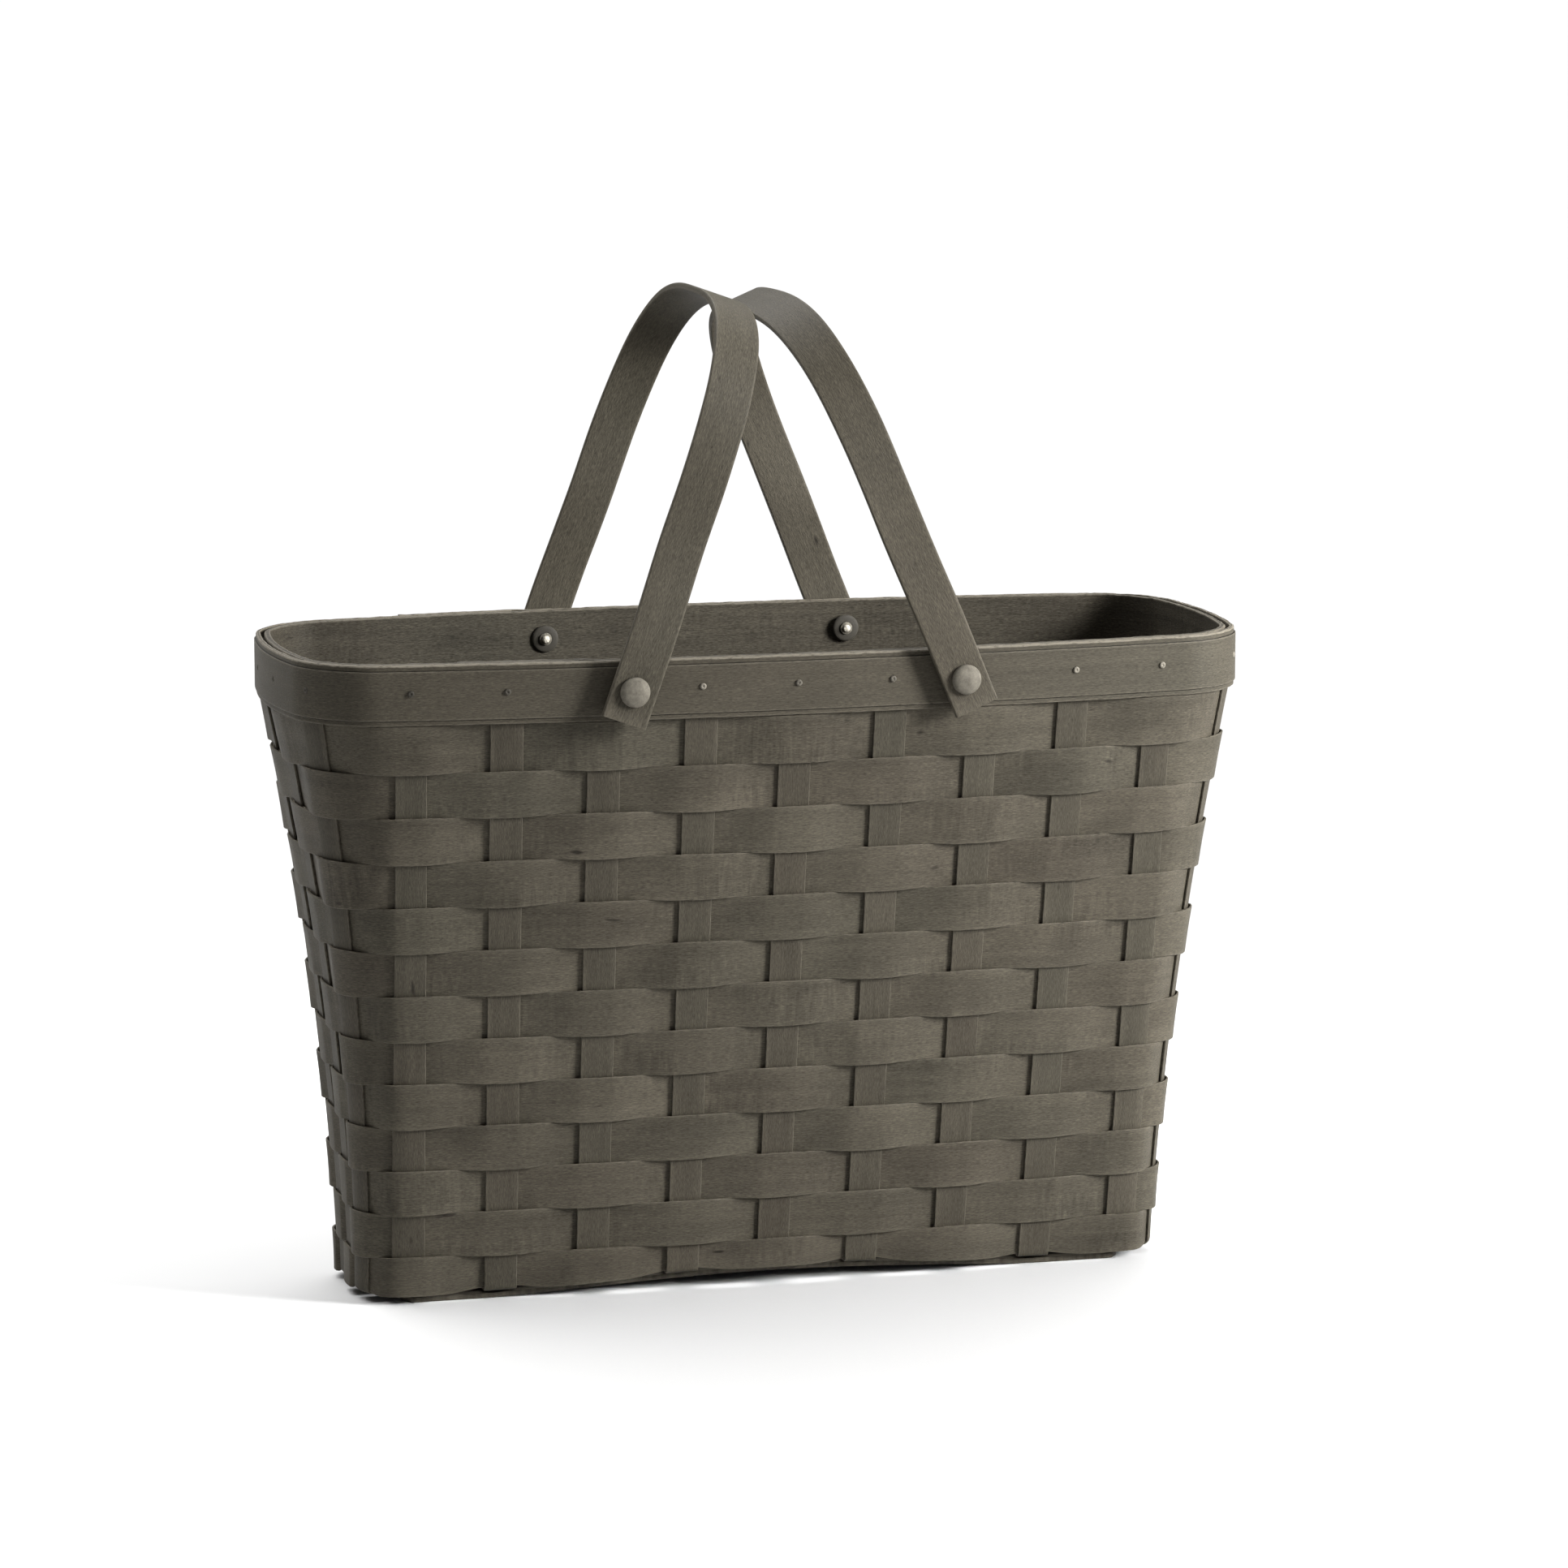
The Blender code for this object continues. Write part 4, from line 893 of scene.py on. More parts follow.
def weaver_stations(basket, first):
    """Stations round the basket, from the middle of the first upright, as (upright, share of the
    way off it, share of the gap after it, share of the way onto the next)."""
    stations = []
    for upright in range(first, first + basket.uprights):
        stations += [(upright, step / HALF_STEPS, 0.0, 0.0) for step in range(HALF_STEPS)]
        stations += [(upright, 1.0, step / GAP_STEPS, 0.0) for step in range(GAP_STEPS)]
        stations += [(upright, 1.0, 1.0, step / HALF_STEPS) for step in range(HALF_STEPS)]
    return stations + [(first + basket.uprights - 1, 1.0, 1.0, 1.0)]


def edge_wander(basket, seam, spot):
    """How far the edges of two rows wander up and down together where they meet."""
    splints = basket.splints
    level = seam / splints.rows
    drift = wander(DRIFT_SCALE, spot.x, spot.y, DRIFT_SPREAD * level) * math.sin(math.pi * level)
    fray = wander(FRAY_SCALE, spot.x, spot.y, level)
    fray += FINE_FRAY_SHARE * wander(FINE_FRAY_SCALE, spot.x, spot.y, level)
    return splints.row_wander * drift + splints.edge_fray * fray


def brick_chance(row, upright, seeds):
    """A number from -1 to 1 that belongs to the brick of a row over one upright."""
    return wander(1.0, seeds[0] * row, seeds[1] * upright, seeds[2])


def row_levels(basket, row):
    foot = basket.wall_top - row * basket.splints.row_pitch + basket.splints.row_gap / 2
    return foot, foot + basket.splints.row_pitch - basket.splints.row_gap


def row_edges(basket, row, spot, swing, swell):
    """Foot and head of a row at a spot. Swing runs from 1 outside to -1 inside, and swell is how
    far the row spreads over an upright."""
    splints = basket.splints
    foot, head = row_levels(basket, row)
    low = foot - splints.brick_sag * swell
    low += edge_wander(basket, row, spot) - splints.foot_hang * max(-swing, 0.0)
    high = head + splints.brick_flare * swell + edge_wander(basket, row - 1, spot)
    if row == 1:
        high = basket.hoop_foot - splints.seat_gap
    if row == splints.rows:
        tucked = basket.floor_base + splints.stake_thickness / 2 + splints.tuck_gap
        turned_in = min(max((TUCK_START_SHARE - swing) / (1 + TUCK_START_SHARE), 0.0), 1.0)
        low = between(foot + splints.last_row_lift, tucked, turned_in ** TUCK_POWER)
        low += basket.floor_rise(spot.x)
    return low, high


def weaver_runs(basket, row):
    """For each lane of a row, the runs of the uprights in one round and two more."""
    foot, head = row_levels(basket, row)
    runs = []
    for lane in LANE_SHARES:
        z = between(foot, head, lane)
        middles = basket.upright_runs(z)
        again = [middle + 4 * basket.quarter_run(z) for middle in middles[:2]]
        runs.append(middles + again)
    return runs


def make_weaver(basket, row):
    splints = basket.splints
    reach = splints.stake_width / 2 + splints.weave_margin
    # A row starts where it passes inside an upright, which hides its seam
    stations = weaver_stations(basket, row % 2)
    runs = weaver_runs(basket, row)
    foot = row_levels(basket, row)[0]

    def run_at(station, lane_runs):
        upright, leave, gap, meet = stations[station]
        open_gap = lane_runs[upright + 1] - lane_runs[upright] - 2 * reach
        return lane_runs[upright] + (leave + meet) * reach + gap * open_gap

    def place(station, lane):
        upright, _, gap, _ = stations[station]
        side = weave_side(row, upright)
        start, stop = runs[lane][upright:upright + 2]
        run = run_at(station, runs[lane])
        swing = side * (1 - 2 * between(gap, ease(gap), CROSSING_EASE_SHARE))
        nearest = run - start if side > 0 else stop - run
        crown = max(math.cos(math.pi * nearest / (stop - start)), 0.0)
        seed = (upright if side > 0 else upright + 1) % basket.uprights
        vigour = 1.0 + VIGOUR_SHARE * brick_chance(row, seed, VIGOUR_SEEDS)
        slant = SLANT_SHARE * brick_chance(row, seed, SLANT_SEEDS)
        slant *= side * nearest / (stop - start)
        across = LANE_SHARES[lane]
        spot = basket.wall_point(foot, run)
        low, high = row_edges(basket, row, spot, swing, crown * (vigour + slant))
        offset = swing * basket.weave_offset + splints.brick_bulge * vigour * crown
        offset += splints.brick_cup * (2 * across - 1) ** 2 * crown
        offset += splints.warp * wander(WARP_SCALE, spot.x, spot.y,
                                        WARP_ROW_STEP * row + WARP_LANE_STEP * across)
        flat = (row * ROW_CUT[0] + run_at(station, runs[WEAVER_LANES // 2]),
                row * ROW_CUT[1] + across * splints.row_pitch)
        point = basket.wall_point(between(low, high, across), run, offset)
        return point, flat, LANE_WEAR_SHARES[lane]

    piece = shaped_grid(f"splint_row_{row:02d}", len(stations) - 1, WEAVER_LANES, place,
                        closed_along=True)
    thicken(piece, splints.weaver_thickness, splints.edge_round, 1)
    settle(piece)
    dress(piece, weaver_wood(), "basket", "weaver_splint", f"weaver_{row:02d}")


STAKE_LANE_SHARES = (-1.0, -0.94, -0.6, 0.0, 0.6, 0.94, 1.0)
STAKE_WEAR_SHARES = (1.0, 0.3, 0.0, 0.0, 0.0, 0.3, 1.0)
STAKE_LANES = len(STAKE_LANE_SHARES) - 1
WALL_STEPS = 46
CREASE_STEPS = 5
FLOOR_TURN_SHARES = (1, 0.5, -0.5, -1)
STAKE_WARP_SCALE = 30.0
STAKE_WARP_SEED = 1.7
STAKE_FRAY_SCALE = 260.0
STAKE_FRAY_SEED = 1.3
# Where on the sheet of grain the uprights are cut, and how far apart
STAKE_CUTS = {"cross": 60.0, "long": 80.0}
STAKE_CUT_STEP = (2.9, 0.27)


def stake_wall(basket, upright, side, crease):
    """Points of one line down an upright, from its top to the crease at the floor."""
    points = []
    for step in range(WALL_STEPS + 1):
        z = between(basket.stake_top, crease, step / WALL_STEPS)
        run = basket.upright_runs(z)[upright] + side * basket.splints.stake_width / 2
        chance = wander(STAKE_WARP_SCALE, z, STAKE_WARP_SEED * upright, side)
        points.append(basket.wall_point(z, run, basket.splints.stake_warp * chance))
    return points


def stake_crease(basket, start, inward):
    """Quarter bend from the foot of the wall to the floor, after its first point."""
    radius = basket.splints.crease_radius
    points = []
    for step in range(1, CREASE_STEPS + 1):
        turn = math.pi / 2 * step / CREASE_STEPS
        run_in = inward * radius * (1 - math.cos(turn))
        points.append(start + run_in + Vector((0, 0, -radius * math.sin(turn))))
    return points


def cross_stake_line(basket, number, side):
    front = number - 1
    back = 2 * basket.splints.cross_stakes + basket.splints.long_stakes - number
    half = basket.splints.stake_width / 2
    level = basket.floor_base
    foot = basket.wall_point(level, basket.upright_runs(level)[front] + side * half)
    crease = basket.floor_level(foot.x) + basket.splints.crease_radius
    down = stake_wall(basket, front, side, crease)
    down += stake_crease(basket, down[-1], Vector((0, 1, 0)))
    up = stake_wall(basket, back, -side, crease)
    up += stake_crease(basket, up[-1], Vector((0, -1, 0)))
    return down + up[::-1]


def long_stake_line(basket, number, side):
    splints = basket.splints
    right = splints.cross_stakes + number - 1
    left = basket.uprights - number
    crease = basket.floor_base + splints.crease_radius
    down = stake_wall(basket, right, side, crease)
    down += stake_crease(basket, down[-1], Vector((-1, 0, 0)))
    y = down[-1].y
    reach = splints.stake_width / 2 + splints.weave_margin
    floor = []
    for stake in range(splints.cross_stakes, 0, -1):
        wave = basket.floor_wave if (stake + number) % 2 else -basket.floor_wave
        for shift in FLOOR_TURN_SHARES:
            x = basket.cross_stake_x(stake) + shift * reach
            floor.append(Vector((x, y, basket.floor_level(x) + wave)))
    up = stake_wall(basket, left, -side, crease)
    up += stake_crease(basket, up[-1], Vector((1, 0, 0)))
    return down + floor + up[::-1]


def make_stake(basket, kind, number, line):
    splints = basket.splints
    lines = [line(basket, number, side) for side in STAKE_LANE_SHARES]
    middle = lines[STAKE_LANES // 2]
    reached = [0.0]
    for start, stop in zip(middle, middle[1:]):
        reached.append(reached[-1] + (stop - start).length)
    last = len(middle) - 1

    def place(station, lane):
        point = lines[lane][station]
        share_across = STAKE_LANE_SHARES[lane]
        if lane in (0, STAKE_LANES):
            toward = lines[STAKE_LANES][station] - lines[0][station]
            fray = wander(STAKE_FRAY_SCALE, reached[station], STAKE_FRAY_SEED * number, 1.0)
            point = point + toward.normalized() * splints.edge_fray * fray * share_across
        worn = 1.0 if station in (0, last) else STAKE_WEAR_SHARES[lane]
        flat = (STAKE_CUTS[kind] + number * STAKE_CUT_STEP[0] + reached[station],
                number * STAKE_CUT_STEP[1] + share_across * splints.stake_width / 2)
        return point, flat, worn

    piece = shaped_grid(f"splint_{kind}_{number}", last, STAKE_LANES, place)
    thicken(piece, splints.stake_thickness, splints.edge_round, 1)
    settle(piece)
    dress(piece, stake_wood(), "basket", "stake_splint", f"{kind}_stake_{number}")


# Rim

RIM_STEP = 0.003
CORNER_STEP = 0.002
CORNER_CUT_SHARE = 0.4
CORNER_PULL_SHARE = 0.4
NEAR_TOP_SHARE = 1.1
NEAR_FOOT_SHARE = 1.5
LOW_EDGE_SHARE = 0.5
HOOP_FRAY_SCALE = 130.0
HOOP_FINE_FRAY_SCALE = 430.0
HOOP_FRAY_SEED = 90.0
# Turns a hoop's distance from the wall into its place on the sheet of grain
HOOP_CUT = 4000.0


def hoop_runs(basket, start, stop):
    """Runs at which a hoop is drawn, closer together round the corners."""
    z = basket.hoop_foot
    quarter = basket.quarter_run(z)
    side = basket.side_run(z)
    runs = []
    run = start
    while run < stop - CORNER_STEP / 2:
        runs.append(run)
        along = run % (2 * quarter)
        from_middle = min(along, 2 * quarter - along)
        run += CORNER_STEP if from_middle > side - RIM_STEP else RIM_STEP
    return runs + [stop]


def rounded_section(corners, fade, steps=2):
    """Outline of a section of (across, up, radius) corners, as (across, up, wear) points, where a
    negative wear paints shade with stain into an inner corner. The wear of a corner, or the painted
    shade and stain in an inner one, fades out over a distance."""
    outline = []
    spots = [Vector(corner[:2]) for corner in corners]
    for number, corner in enumerate(spots):
        before = spots[number - 1] - corner
        after = spots[(number + 1) % len(spots)] - corner
        inner = before.cross(after) > 0
        # Inner corners get painted shade, with the stain left there
        wear = -1.0 if inner else 1.0
        reach = fade / 2 if inner else fade
        cut = min(corners[number][2], before.length * CORNER_CUT_SHARE,
                  after.length * CORNER_CUT_SHARE)
        first = corner + before.normalized() * cut
        last = corner + after.normalized() * cut
        if before.length > 2 * fade:
            faded = corner + before.normalized() * reach
            outline.append((faded.x, faded.y, 0.0))
        for step in range(steps + 1):
            part = step / steps
            pull = CORNER_PULL_SHARE * math.sin(part * math.pi)
            bend = first.lerp(last, part).lerp(corner, pull)
            outline.append((bend.x, bend.y, wear))
        if after.length > 2 * fade:
            faded = corner + after.normalized() * reach
            outline.append((faded.x, faded.y, 0.0))
    return outline


def outline_distances(outline):
    """Distance of each point of an outline along it, and its whole length at the end."""
    reached = [0.0]
    for first, second in zip(outline, outline[1:] + outline[:1]):
        reached.append(reached[-1] + math.dist(first[:2], second[:2]))
    return reached


def hoop_section(rim, thickness, outward):
    """Section of a hoop as (across, up, radius) corners. The outer one is rebated."""
    half, top, sharp = thickness / 2, rim.height, rim.edge_round
    if not outward:
        return [(-half, 0.0, sharp), (half, 0.0, sharp), (half, top, sharp),
                (-half, top, rim.top_round)]
    step = half - rim.edge_step
    return [(-half, 0.0, sharp), (step, 0.0, sharp), (step, rim.foot_lip, sharp),
            (half, rim.foot_lip, sharp), (half, top - rim.top_lip, sharp),
            (step, top - rim.top_lip, sharp), (step, top, rim.top_round), (-half, top, sharp)]


def hoop_start(basket, outward):
    """Run at which a hoop starts: the outer one at the back left, the inner one, which runs the
    other way, at the front left."""
    if outward:
        half_round = 2 * basket.quarter_run(basket.hoop_foot)
        return half_round + basket.pivot_half_spacing + basket.rim.outer_lap_setback
    return basket.pivot_half_spacing + basket.rim.inner_lap_setback


def pivot_bores(basket):
    """Places of the four bores through the rim, each along the local Z."""
    return [outward_place(basket.line_point(side, sign * basket.walls.rim_half_depth),
                          Vector((0, sign, 0)))
            for side in ("left", "right") for sign in (-1, 1)]


def make_hoop(basket, name, outward, node):
    rim = basket.rim
    z = basket.hoop_foot
    gap = basket.splints.seat_gap
    thickness = rim.outer_thickness if outward else rim.inner_thickness
    sense = 1 if outward else -1
    seat = sense * (basket.hoop_seat + thickness / 2)
    layer = sense * (thickness + gap)
    start = hoop_start(basket, outward)
    come_round = start + 4 * basket.quarter_run(z)
    ramp = come_round - rim.lap_ramp
    runs = hoop_runs(basket, start, come_round + rim.lap)
    outline = rounded_section(hoop_section(rim, thickness, outward), rim.wear_reach)
    reached = outline_distances(outline)
    last = len(runs) - 1

    def place(station, lane):
        run = runs[station]
        across, up, worn = outline[lane % len(outline)]
        lapped = min(max((run - ramp) / (rim.lap_ramp - gap), 0.0), 1.0)
        spot = basket.wall_point(z, sense * run, seat + layer * ease(lapped) + across * sense)
        near_top = up > rim.height - NEAR_TOP_SHARE * rim.top_round
        near_foot = up < NEAR_FOOT_SHARE * rim.edge_round
        if near_top or near_foot:
            ragged = wander(HOOP_FRAY_SCALE, spot.x, spot.y, seat * HOOP_FRAY_SEED)
            ragged += wander(HOOP_FINE_FRAY_SCALE, spot.x, spot.y, seat)
            up += rim.edge_fray * (ragged if near_top else LOW_EDGE_SHARE * ragged)
        # Upper edges get more of the wear mark, which paints light from above on them as well as
        # wear
        if near_top:
            worn *= rim.top_wear_and_light
        elif station not in (0, last) and worn > 0:
            worn *= LOW_EDGE_SHARE
        spot.z = min(z + up, cad_box[1].z)
        return spot, (seat * HOOP_CUT + run, reached[lane]), worn

    piece = shaped_grid(name, last, len(outline), place, closed_across=True)
    bore = basket.metal.shank_radius + basket.metal.shank_clearance
    finish_drilled(piece, drill(piece, bore, 4 * basket.outer_face, pivot_bores(basket)))
    wood = outer_hoop_wood() if outward else inner_hoop_wood()
    dress(piece, wood, "basket", "hoop_wood", node)


# Handles

ARCH_STEPS = 60
LEG_STEPS = 14
FOOT_STEPS = 4
HANDLE_CORNER_STEPS = 3
FACE_WARP_SCALE = 25.0
EDGE_WARP_SCALE = 30.0
WIDTH_SEED = 20.0
EDGE_SEED = 4.0
HANDLE_SEEDS = {"left": 5.0, "right": 9.0}
# How far apart on the sheet of grain the handles are cut, for each unit of their seeds
HANDLE_CUT = 7.0


def handle_path(basket):
    """Middle line of a handle from its front foot over the crown to its back foot."""
    handles = basket.handles
    arch_span = basket.half_span - handles.leg_draw_in
    half = []
    for step in range(ARCH_STEPS + 1):
        turn = math.pi / 2 * step / ARCH_STEPS
        across = arch_span * math.sin(turn) ** (2 / handles.arch_power)
        climb = max(math.cos(turn), 0.0) ** (2 / handles.arch_power)
        if step == ARCH_STEPS:
            climb = 0.0
        half.append((across, between(handles.leg_rise, handles.rise, climb)))
    for step in range(1, LEG_STEPS + 1):
        part = step / LEG_STEPS
        half.append((between(arch_span, basket.half_span, ease(part)),
                     between(handles.leg_rise, handles.foot_rise, part)))
    for step in range(1, FOOT_STEPS + 1):
        half.append((basket.half_span,
                     between(handles.foot_rise, -handles.tail, step / FOOT_STEPS)))
    front = [Vector((-across, up)) for across, up in reversed(half)]
    back = [Vector((across, up)) for across, up in half[1:]]
    return front + back


def handle_seat(basket, side):
    """Place of a handle at rest, whose own x lies across its strip and y towards the back."""
    middle, yaw = basket.pivot_lines()[side]
    lean = basket.handles.left_lean if side == "left" else -basket.right_lean()
    turn = Euler((0, lean, yaw)).to_matrix().to_4x4()
    return Matrix.Translation(Vector((middle, 0, basket.pivot_z))) @ turn


def make_handle(basket, side):
    handles = basket.handles
    path = handle_path(basket)
    half_width = handles.width / 2
    half_thick = handles.thickness / 2
    section = [(across * half_width, up * half_thick, handles.edge_round)
               for across, up in ((-1, -1), (1, -1), (1, 1), (-1, 1))]
    outline = rounded_section(section, handles.wear_reach, HANDLE_CORNER_STEPS)
    around = outline_distances(outline)
    reached = [0.0]
    for start, stop in zip(path, path[1:]):
        reached.append(reached[-1] + (stop - start).length)
    seat = handle_seat(basket, side)
    seed = HANDLE_SEEDS[side]
    last = len(path) - 1

    def place(station, lane):
        tangent = (path[min(station + 1, last)] - path[max(station - 1, 0)]).normalized()
        normal = Vector((-tangent.y, tangent.x))
        width, thick, worn = outline[lane % len(outline)]
        wave = wander(FACE_WARP_SCALE, reached[station], seed, width * WIDTH_SEED)
        in_plane = path[station] + normal * (thick + handles.face_warp * wave)
        drift = wander(EDGE_WARP_SCALE, reached[station], seed,
                       EDGE_SEED + math.copysign(1.0, width))
        point = seat @ Vector((width + handles.edge_warp * drift, in_plane.x, in_plane.y))
        if station in (0, last):
            worn = 1.0
        return point, (seed * HANDLE_CUT + reached[station], around[lane]), worn

    piece = shaped_grid(f"handle_strip_{side}", last, len(outline), place, closed_across=True)
    holes = [outward_place(basket.line_point(side, sign * basket.half_span),
                           basket.line_point(side, sign) - basket.line_point(side, 0))
             for sign in (-1, 1)]
    bore = basket.metal.shank_radius + basket.metal.shank_clearance
    finish_drilled(piece, drill(piece, bore, 4 * handles.thickness, holes))
    dress(piece, handle_wood(), f"{side}_handle", "handle_wood", f"handle_{side}")


# Metal

ROUND_STEPS = 40
TACK_STEPS = 16
HEAD_STEPS = 8
# Shares of a radius and of a height or length, from the inside out
HEAD_FOOT_SHARES = ((1.0, 0.3), (0.97, 0.0))
PEEN_SHARES = ((1.0, 0.0), (0.95, 0.25), (0.62, 0.5), (0.50, 0.85), (0.30, 0.97), (0.0, 1.0))
WASHER_SHARES = ((0.62, 1.0), (0.78, 0.78), (0.93, 0.72), (1.0, 0.35), (1.0, 0.0))
WASHER_BORE_SHARE = 0.9
TACK_SHARES = ((0.42, 0.95), (0.6, 1.0), (0.85, 0.8), (1.0, 0.3), (1.0, 0.0))
TACK_DENT_SHARE = 0.2
BATTER_FROM_SHARE = 0.3
BRIGHT_FROM_SHARE = 0.6
BRIGHT_FULL_SHARE = 0.75
BATTER_SCALE = 700.0


def rivet_profile(metal, depth):
    """Half section of a rivet, from the crown of its head to the tip of its peened end."""
    profile = []
    for step in range(HEAD_STEPS + 1):
        turn = math.pi / 2 * step / HEAD_STEPS
        profile.append((metal.head_radius * math.sin(turn),
                        metal.head_edge + metal.head_crown * math.cos(turn)))
    profile += [(metal.head_radius * out, metal.head_edge * up) for out, up in HEAD_FOOT_SHARES]
    profile += [(metal.shank_radius, 0.0), (metal.shank_radius, -depth)]
    profile += [(metal.peen_radius * out, -depth - metal.peen_length * down)
                for out, down in PEEN_SHARES]
    return profile


def washer_profile(metal):
    """Section of a washer, from its bore over its face and back under it."""
    bore = metal.shank_radius + metal.shank_clearance
    top = metal.washer_thickness
    profile = [(bore, top * WASHER_BORE_SHARE), (bore + metal.washer_round, top)]
    profile += [(metal.washer_radius * out, top * up) for out, up in WASHER_SHARES]
    return profile + [(bore, 0.0)]


def tack_profile(metal, shank):
    """Half section of a tack, from the punch mark in its head to its point."""
    sunk = metal.tack_height - metal.tack_dent
    profile = [(0.0, sunk), (metal.tack_radius * TACK_DENT_SHARE, sunk)]
    profile += [(metal.tack_radius * out, metal.tack_height * up) for out, up in TACK_SHARES]
    return profile + [(metal.tack_shank, 0.0), (metal.tack_shank, -shank), (0.0, -shank)]


def make_pivots(basket):
    metal = basket.metal
    head_seat = basket.half_span + basket.handles.thickness / 2 + basket.splints.seat_gap
    washer_seat = basket.rim_depth - basket.inner_face - metal.washer_standoff
    peen_seat = washer_seat - metal.washer_thickness - basket.splints.seat_gap
    rivet = rivet_profile(metal, head_seat - peen_seat)
    washer = washer_profile(metal)
    for side in ("left", "right"):
        outward = basket.line_point(side, 1.0) - basket.line_point(side, 0.0)
        for end, sign in (("front", -1), ("back", 1)):
            place = outward_place(basket.line_point(side, sign * head_seat), outward * sign)
            pin = turned(f"pivot_rivet_{end}_{side}", rivet, ROUND_STEPS, place)
            batter_peen(pin, basket.line_point(side, sign * peen_seat), outward * sign, metal)
            settle(pin, METAL_SHARP_DEGREES)
            dress(pin, rivet_metal(), "basket", "rivet_metal", f"rivet_{end}_{side}")
            place = outward_place(basket.line_point(side, sign * washer_seat), -outward * sign)
            disc = turned(f"pivot_washer_{end}_{side}", washer, ROUND_STEPS, place)
            settle(disc, METAL_SHARP_DEGREES)
            dress(disc, washer_metal(), "basket", "washer_metal", f"washer_{end}_{side}")


def batter_peen(pin, seat, outward, metal):
    """Hammer marks on the peened end of a rivet, whose tip is left bright."""
    worn = pin.data.attributes.new(EDGE_MASK, "FLOAT", "POINT")
    for vert in pin.data.vertices:
        depth = (vert.co - seat).dot(-outward) / metal.peen_length
        if depth > BATTER_FROM_SHARE:
            vert.co += outward * abs(metal.peen_batter * wander(BATTER_SCALE, *vert.co))
        bright = (depth - BRIGHT_FROM_SHARE) / (BRIGHT_FULL_SHARE - BRIGHT_FROM_SHARE)
        worn.data[vert.index].value = min(max(bright, 0.0), 1.0)


# Finish of the first tacks of the front side, the first of them painted dark as the shade of the
# hole it sits in; the others are bright
SIDE_TACK_FINISHES = {1: "sunken", 2: "stained", 4: "dulled", 5: "dulled"}


def rim_tack_seats(basket):
    """Each rim tack's upright, place and length, but for the uprights held by a rivet."""
    rim, splints = basket.rim, basket.splints
    lap_start = -basket.pivot_half_spacing - rim.outer_lap_setback
    seats = []
    for upright, run in enumerate(basket.upright_runs(basket.tack_z)):
        point = basket.wall_point(basket.tack_z, run)
        if abs(abs(point.x) - basket.pivot_half_spacing) < splints.stake_width:
            continue
        past = lap_start - rim.lap - rim.lap_ramp < point.x < lap_start + rim.lap_ramp
        lap = rim.outer_thickness + splints.seat_gap if point.y > 0 and past else 0.0
        out = splints.seat_gap + basket.outer_face + lap
        place = outward_place(basket.wall_point(basket.tack_z, run, out),
                              basket.wall_normal(basket.tack_z, run))
        seats.append((upright, place, out + basket.hoop_seat + basket.metal.tack_bite))
    return seats


def make_rim_tacks(basket):
    metal = basket.metal
    seats = rim_tack_seats(basket)
    side_seats = [seat for seat in seats if not basket.is_end_upright(seat[0])]
    end_seats = [seat for seat in seats if basket.is_end_upright(seat[0])]
    for number, (_, place, shank) in enumerate(side_seats, start=1):
        tack = turned(f"tack_rim_{number:02d}", tack_profile(metal, shank), TACK_STEPS, place)
        settle(tack, METAL_SHARP_DEGREES)
        finish = SIDE_TACK_FINISHES.get(number, "bright")
        dress(tack, tack_metal(finish), "basket", "tack_metal", f"rim_tack_{number:02d}")
    for number, (_, place, shank) in enumerate(end_seats, start=1):
        sunk = place @ Matrix.Translation((0, 0, -2 * basket.splints.seat_gap))
        tack = turned(f"tack_end_{number:02d}", tack_profile(metal, shank), TACK_STEPS, sunk)
        settle(tack, METAL_SHARP_DEGREES)
        finish = "stained" if place.to_translation().x < 0 else "bright"
        dress(tack, tack_metal(finish), "basket", "tack_metal")


# Bottom board

def board_tack_places(basket):
    metal = basket.metal
    level = basket.floor_base
    gap_run = basket.quarter_run(level) + basket.end_pitch(level)
    gap_y = basket.plan_point(level, gap_run)[1]
    places = []
    gaps = basket.middle_stake - 1
    for step in (-1, 0, 1):
        x = basket.cross_stake_x(basket.middle_stake + step * gaps)
        x -= step * basket.board.tack_inset
        for sign in (-1, 1):
            head = basket.floor_rise(x) + metal.tack_height + basket.board.tack_sink
            places.append(outward_place(Vector((x, sign * gap_y, head)), Vector((0, 0, -1))))
    return places


BOARD_STEPS = 96
BOARD_LANES = 12
BOARD_FRAY_SCALE = 300.0
# Where on the sheet of grain the board is cut
BOARD_CUT = 120.0


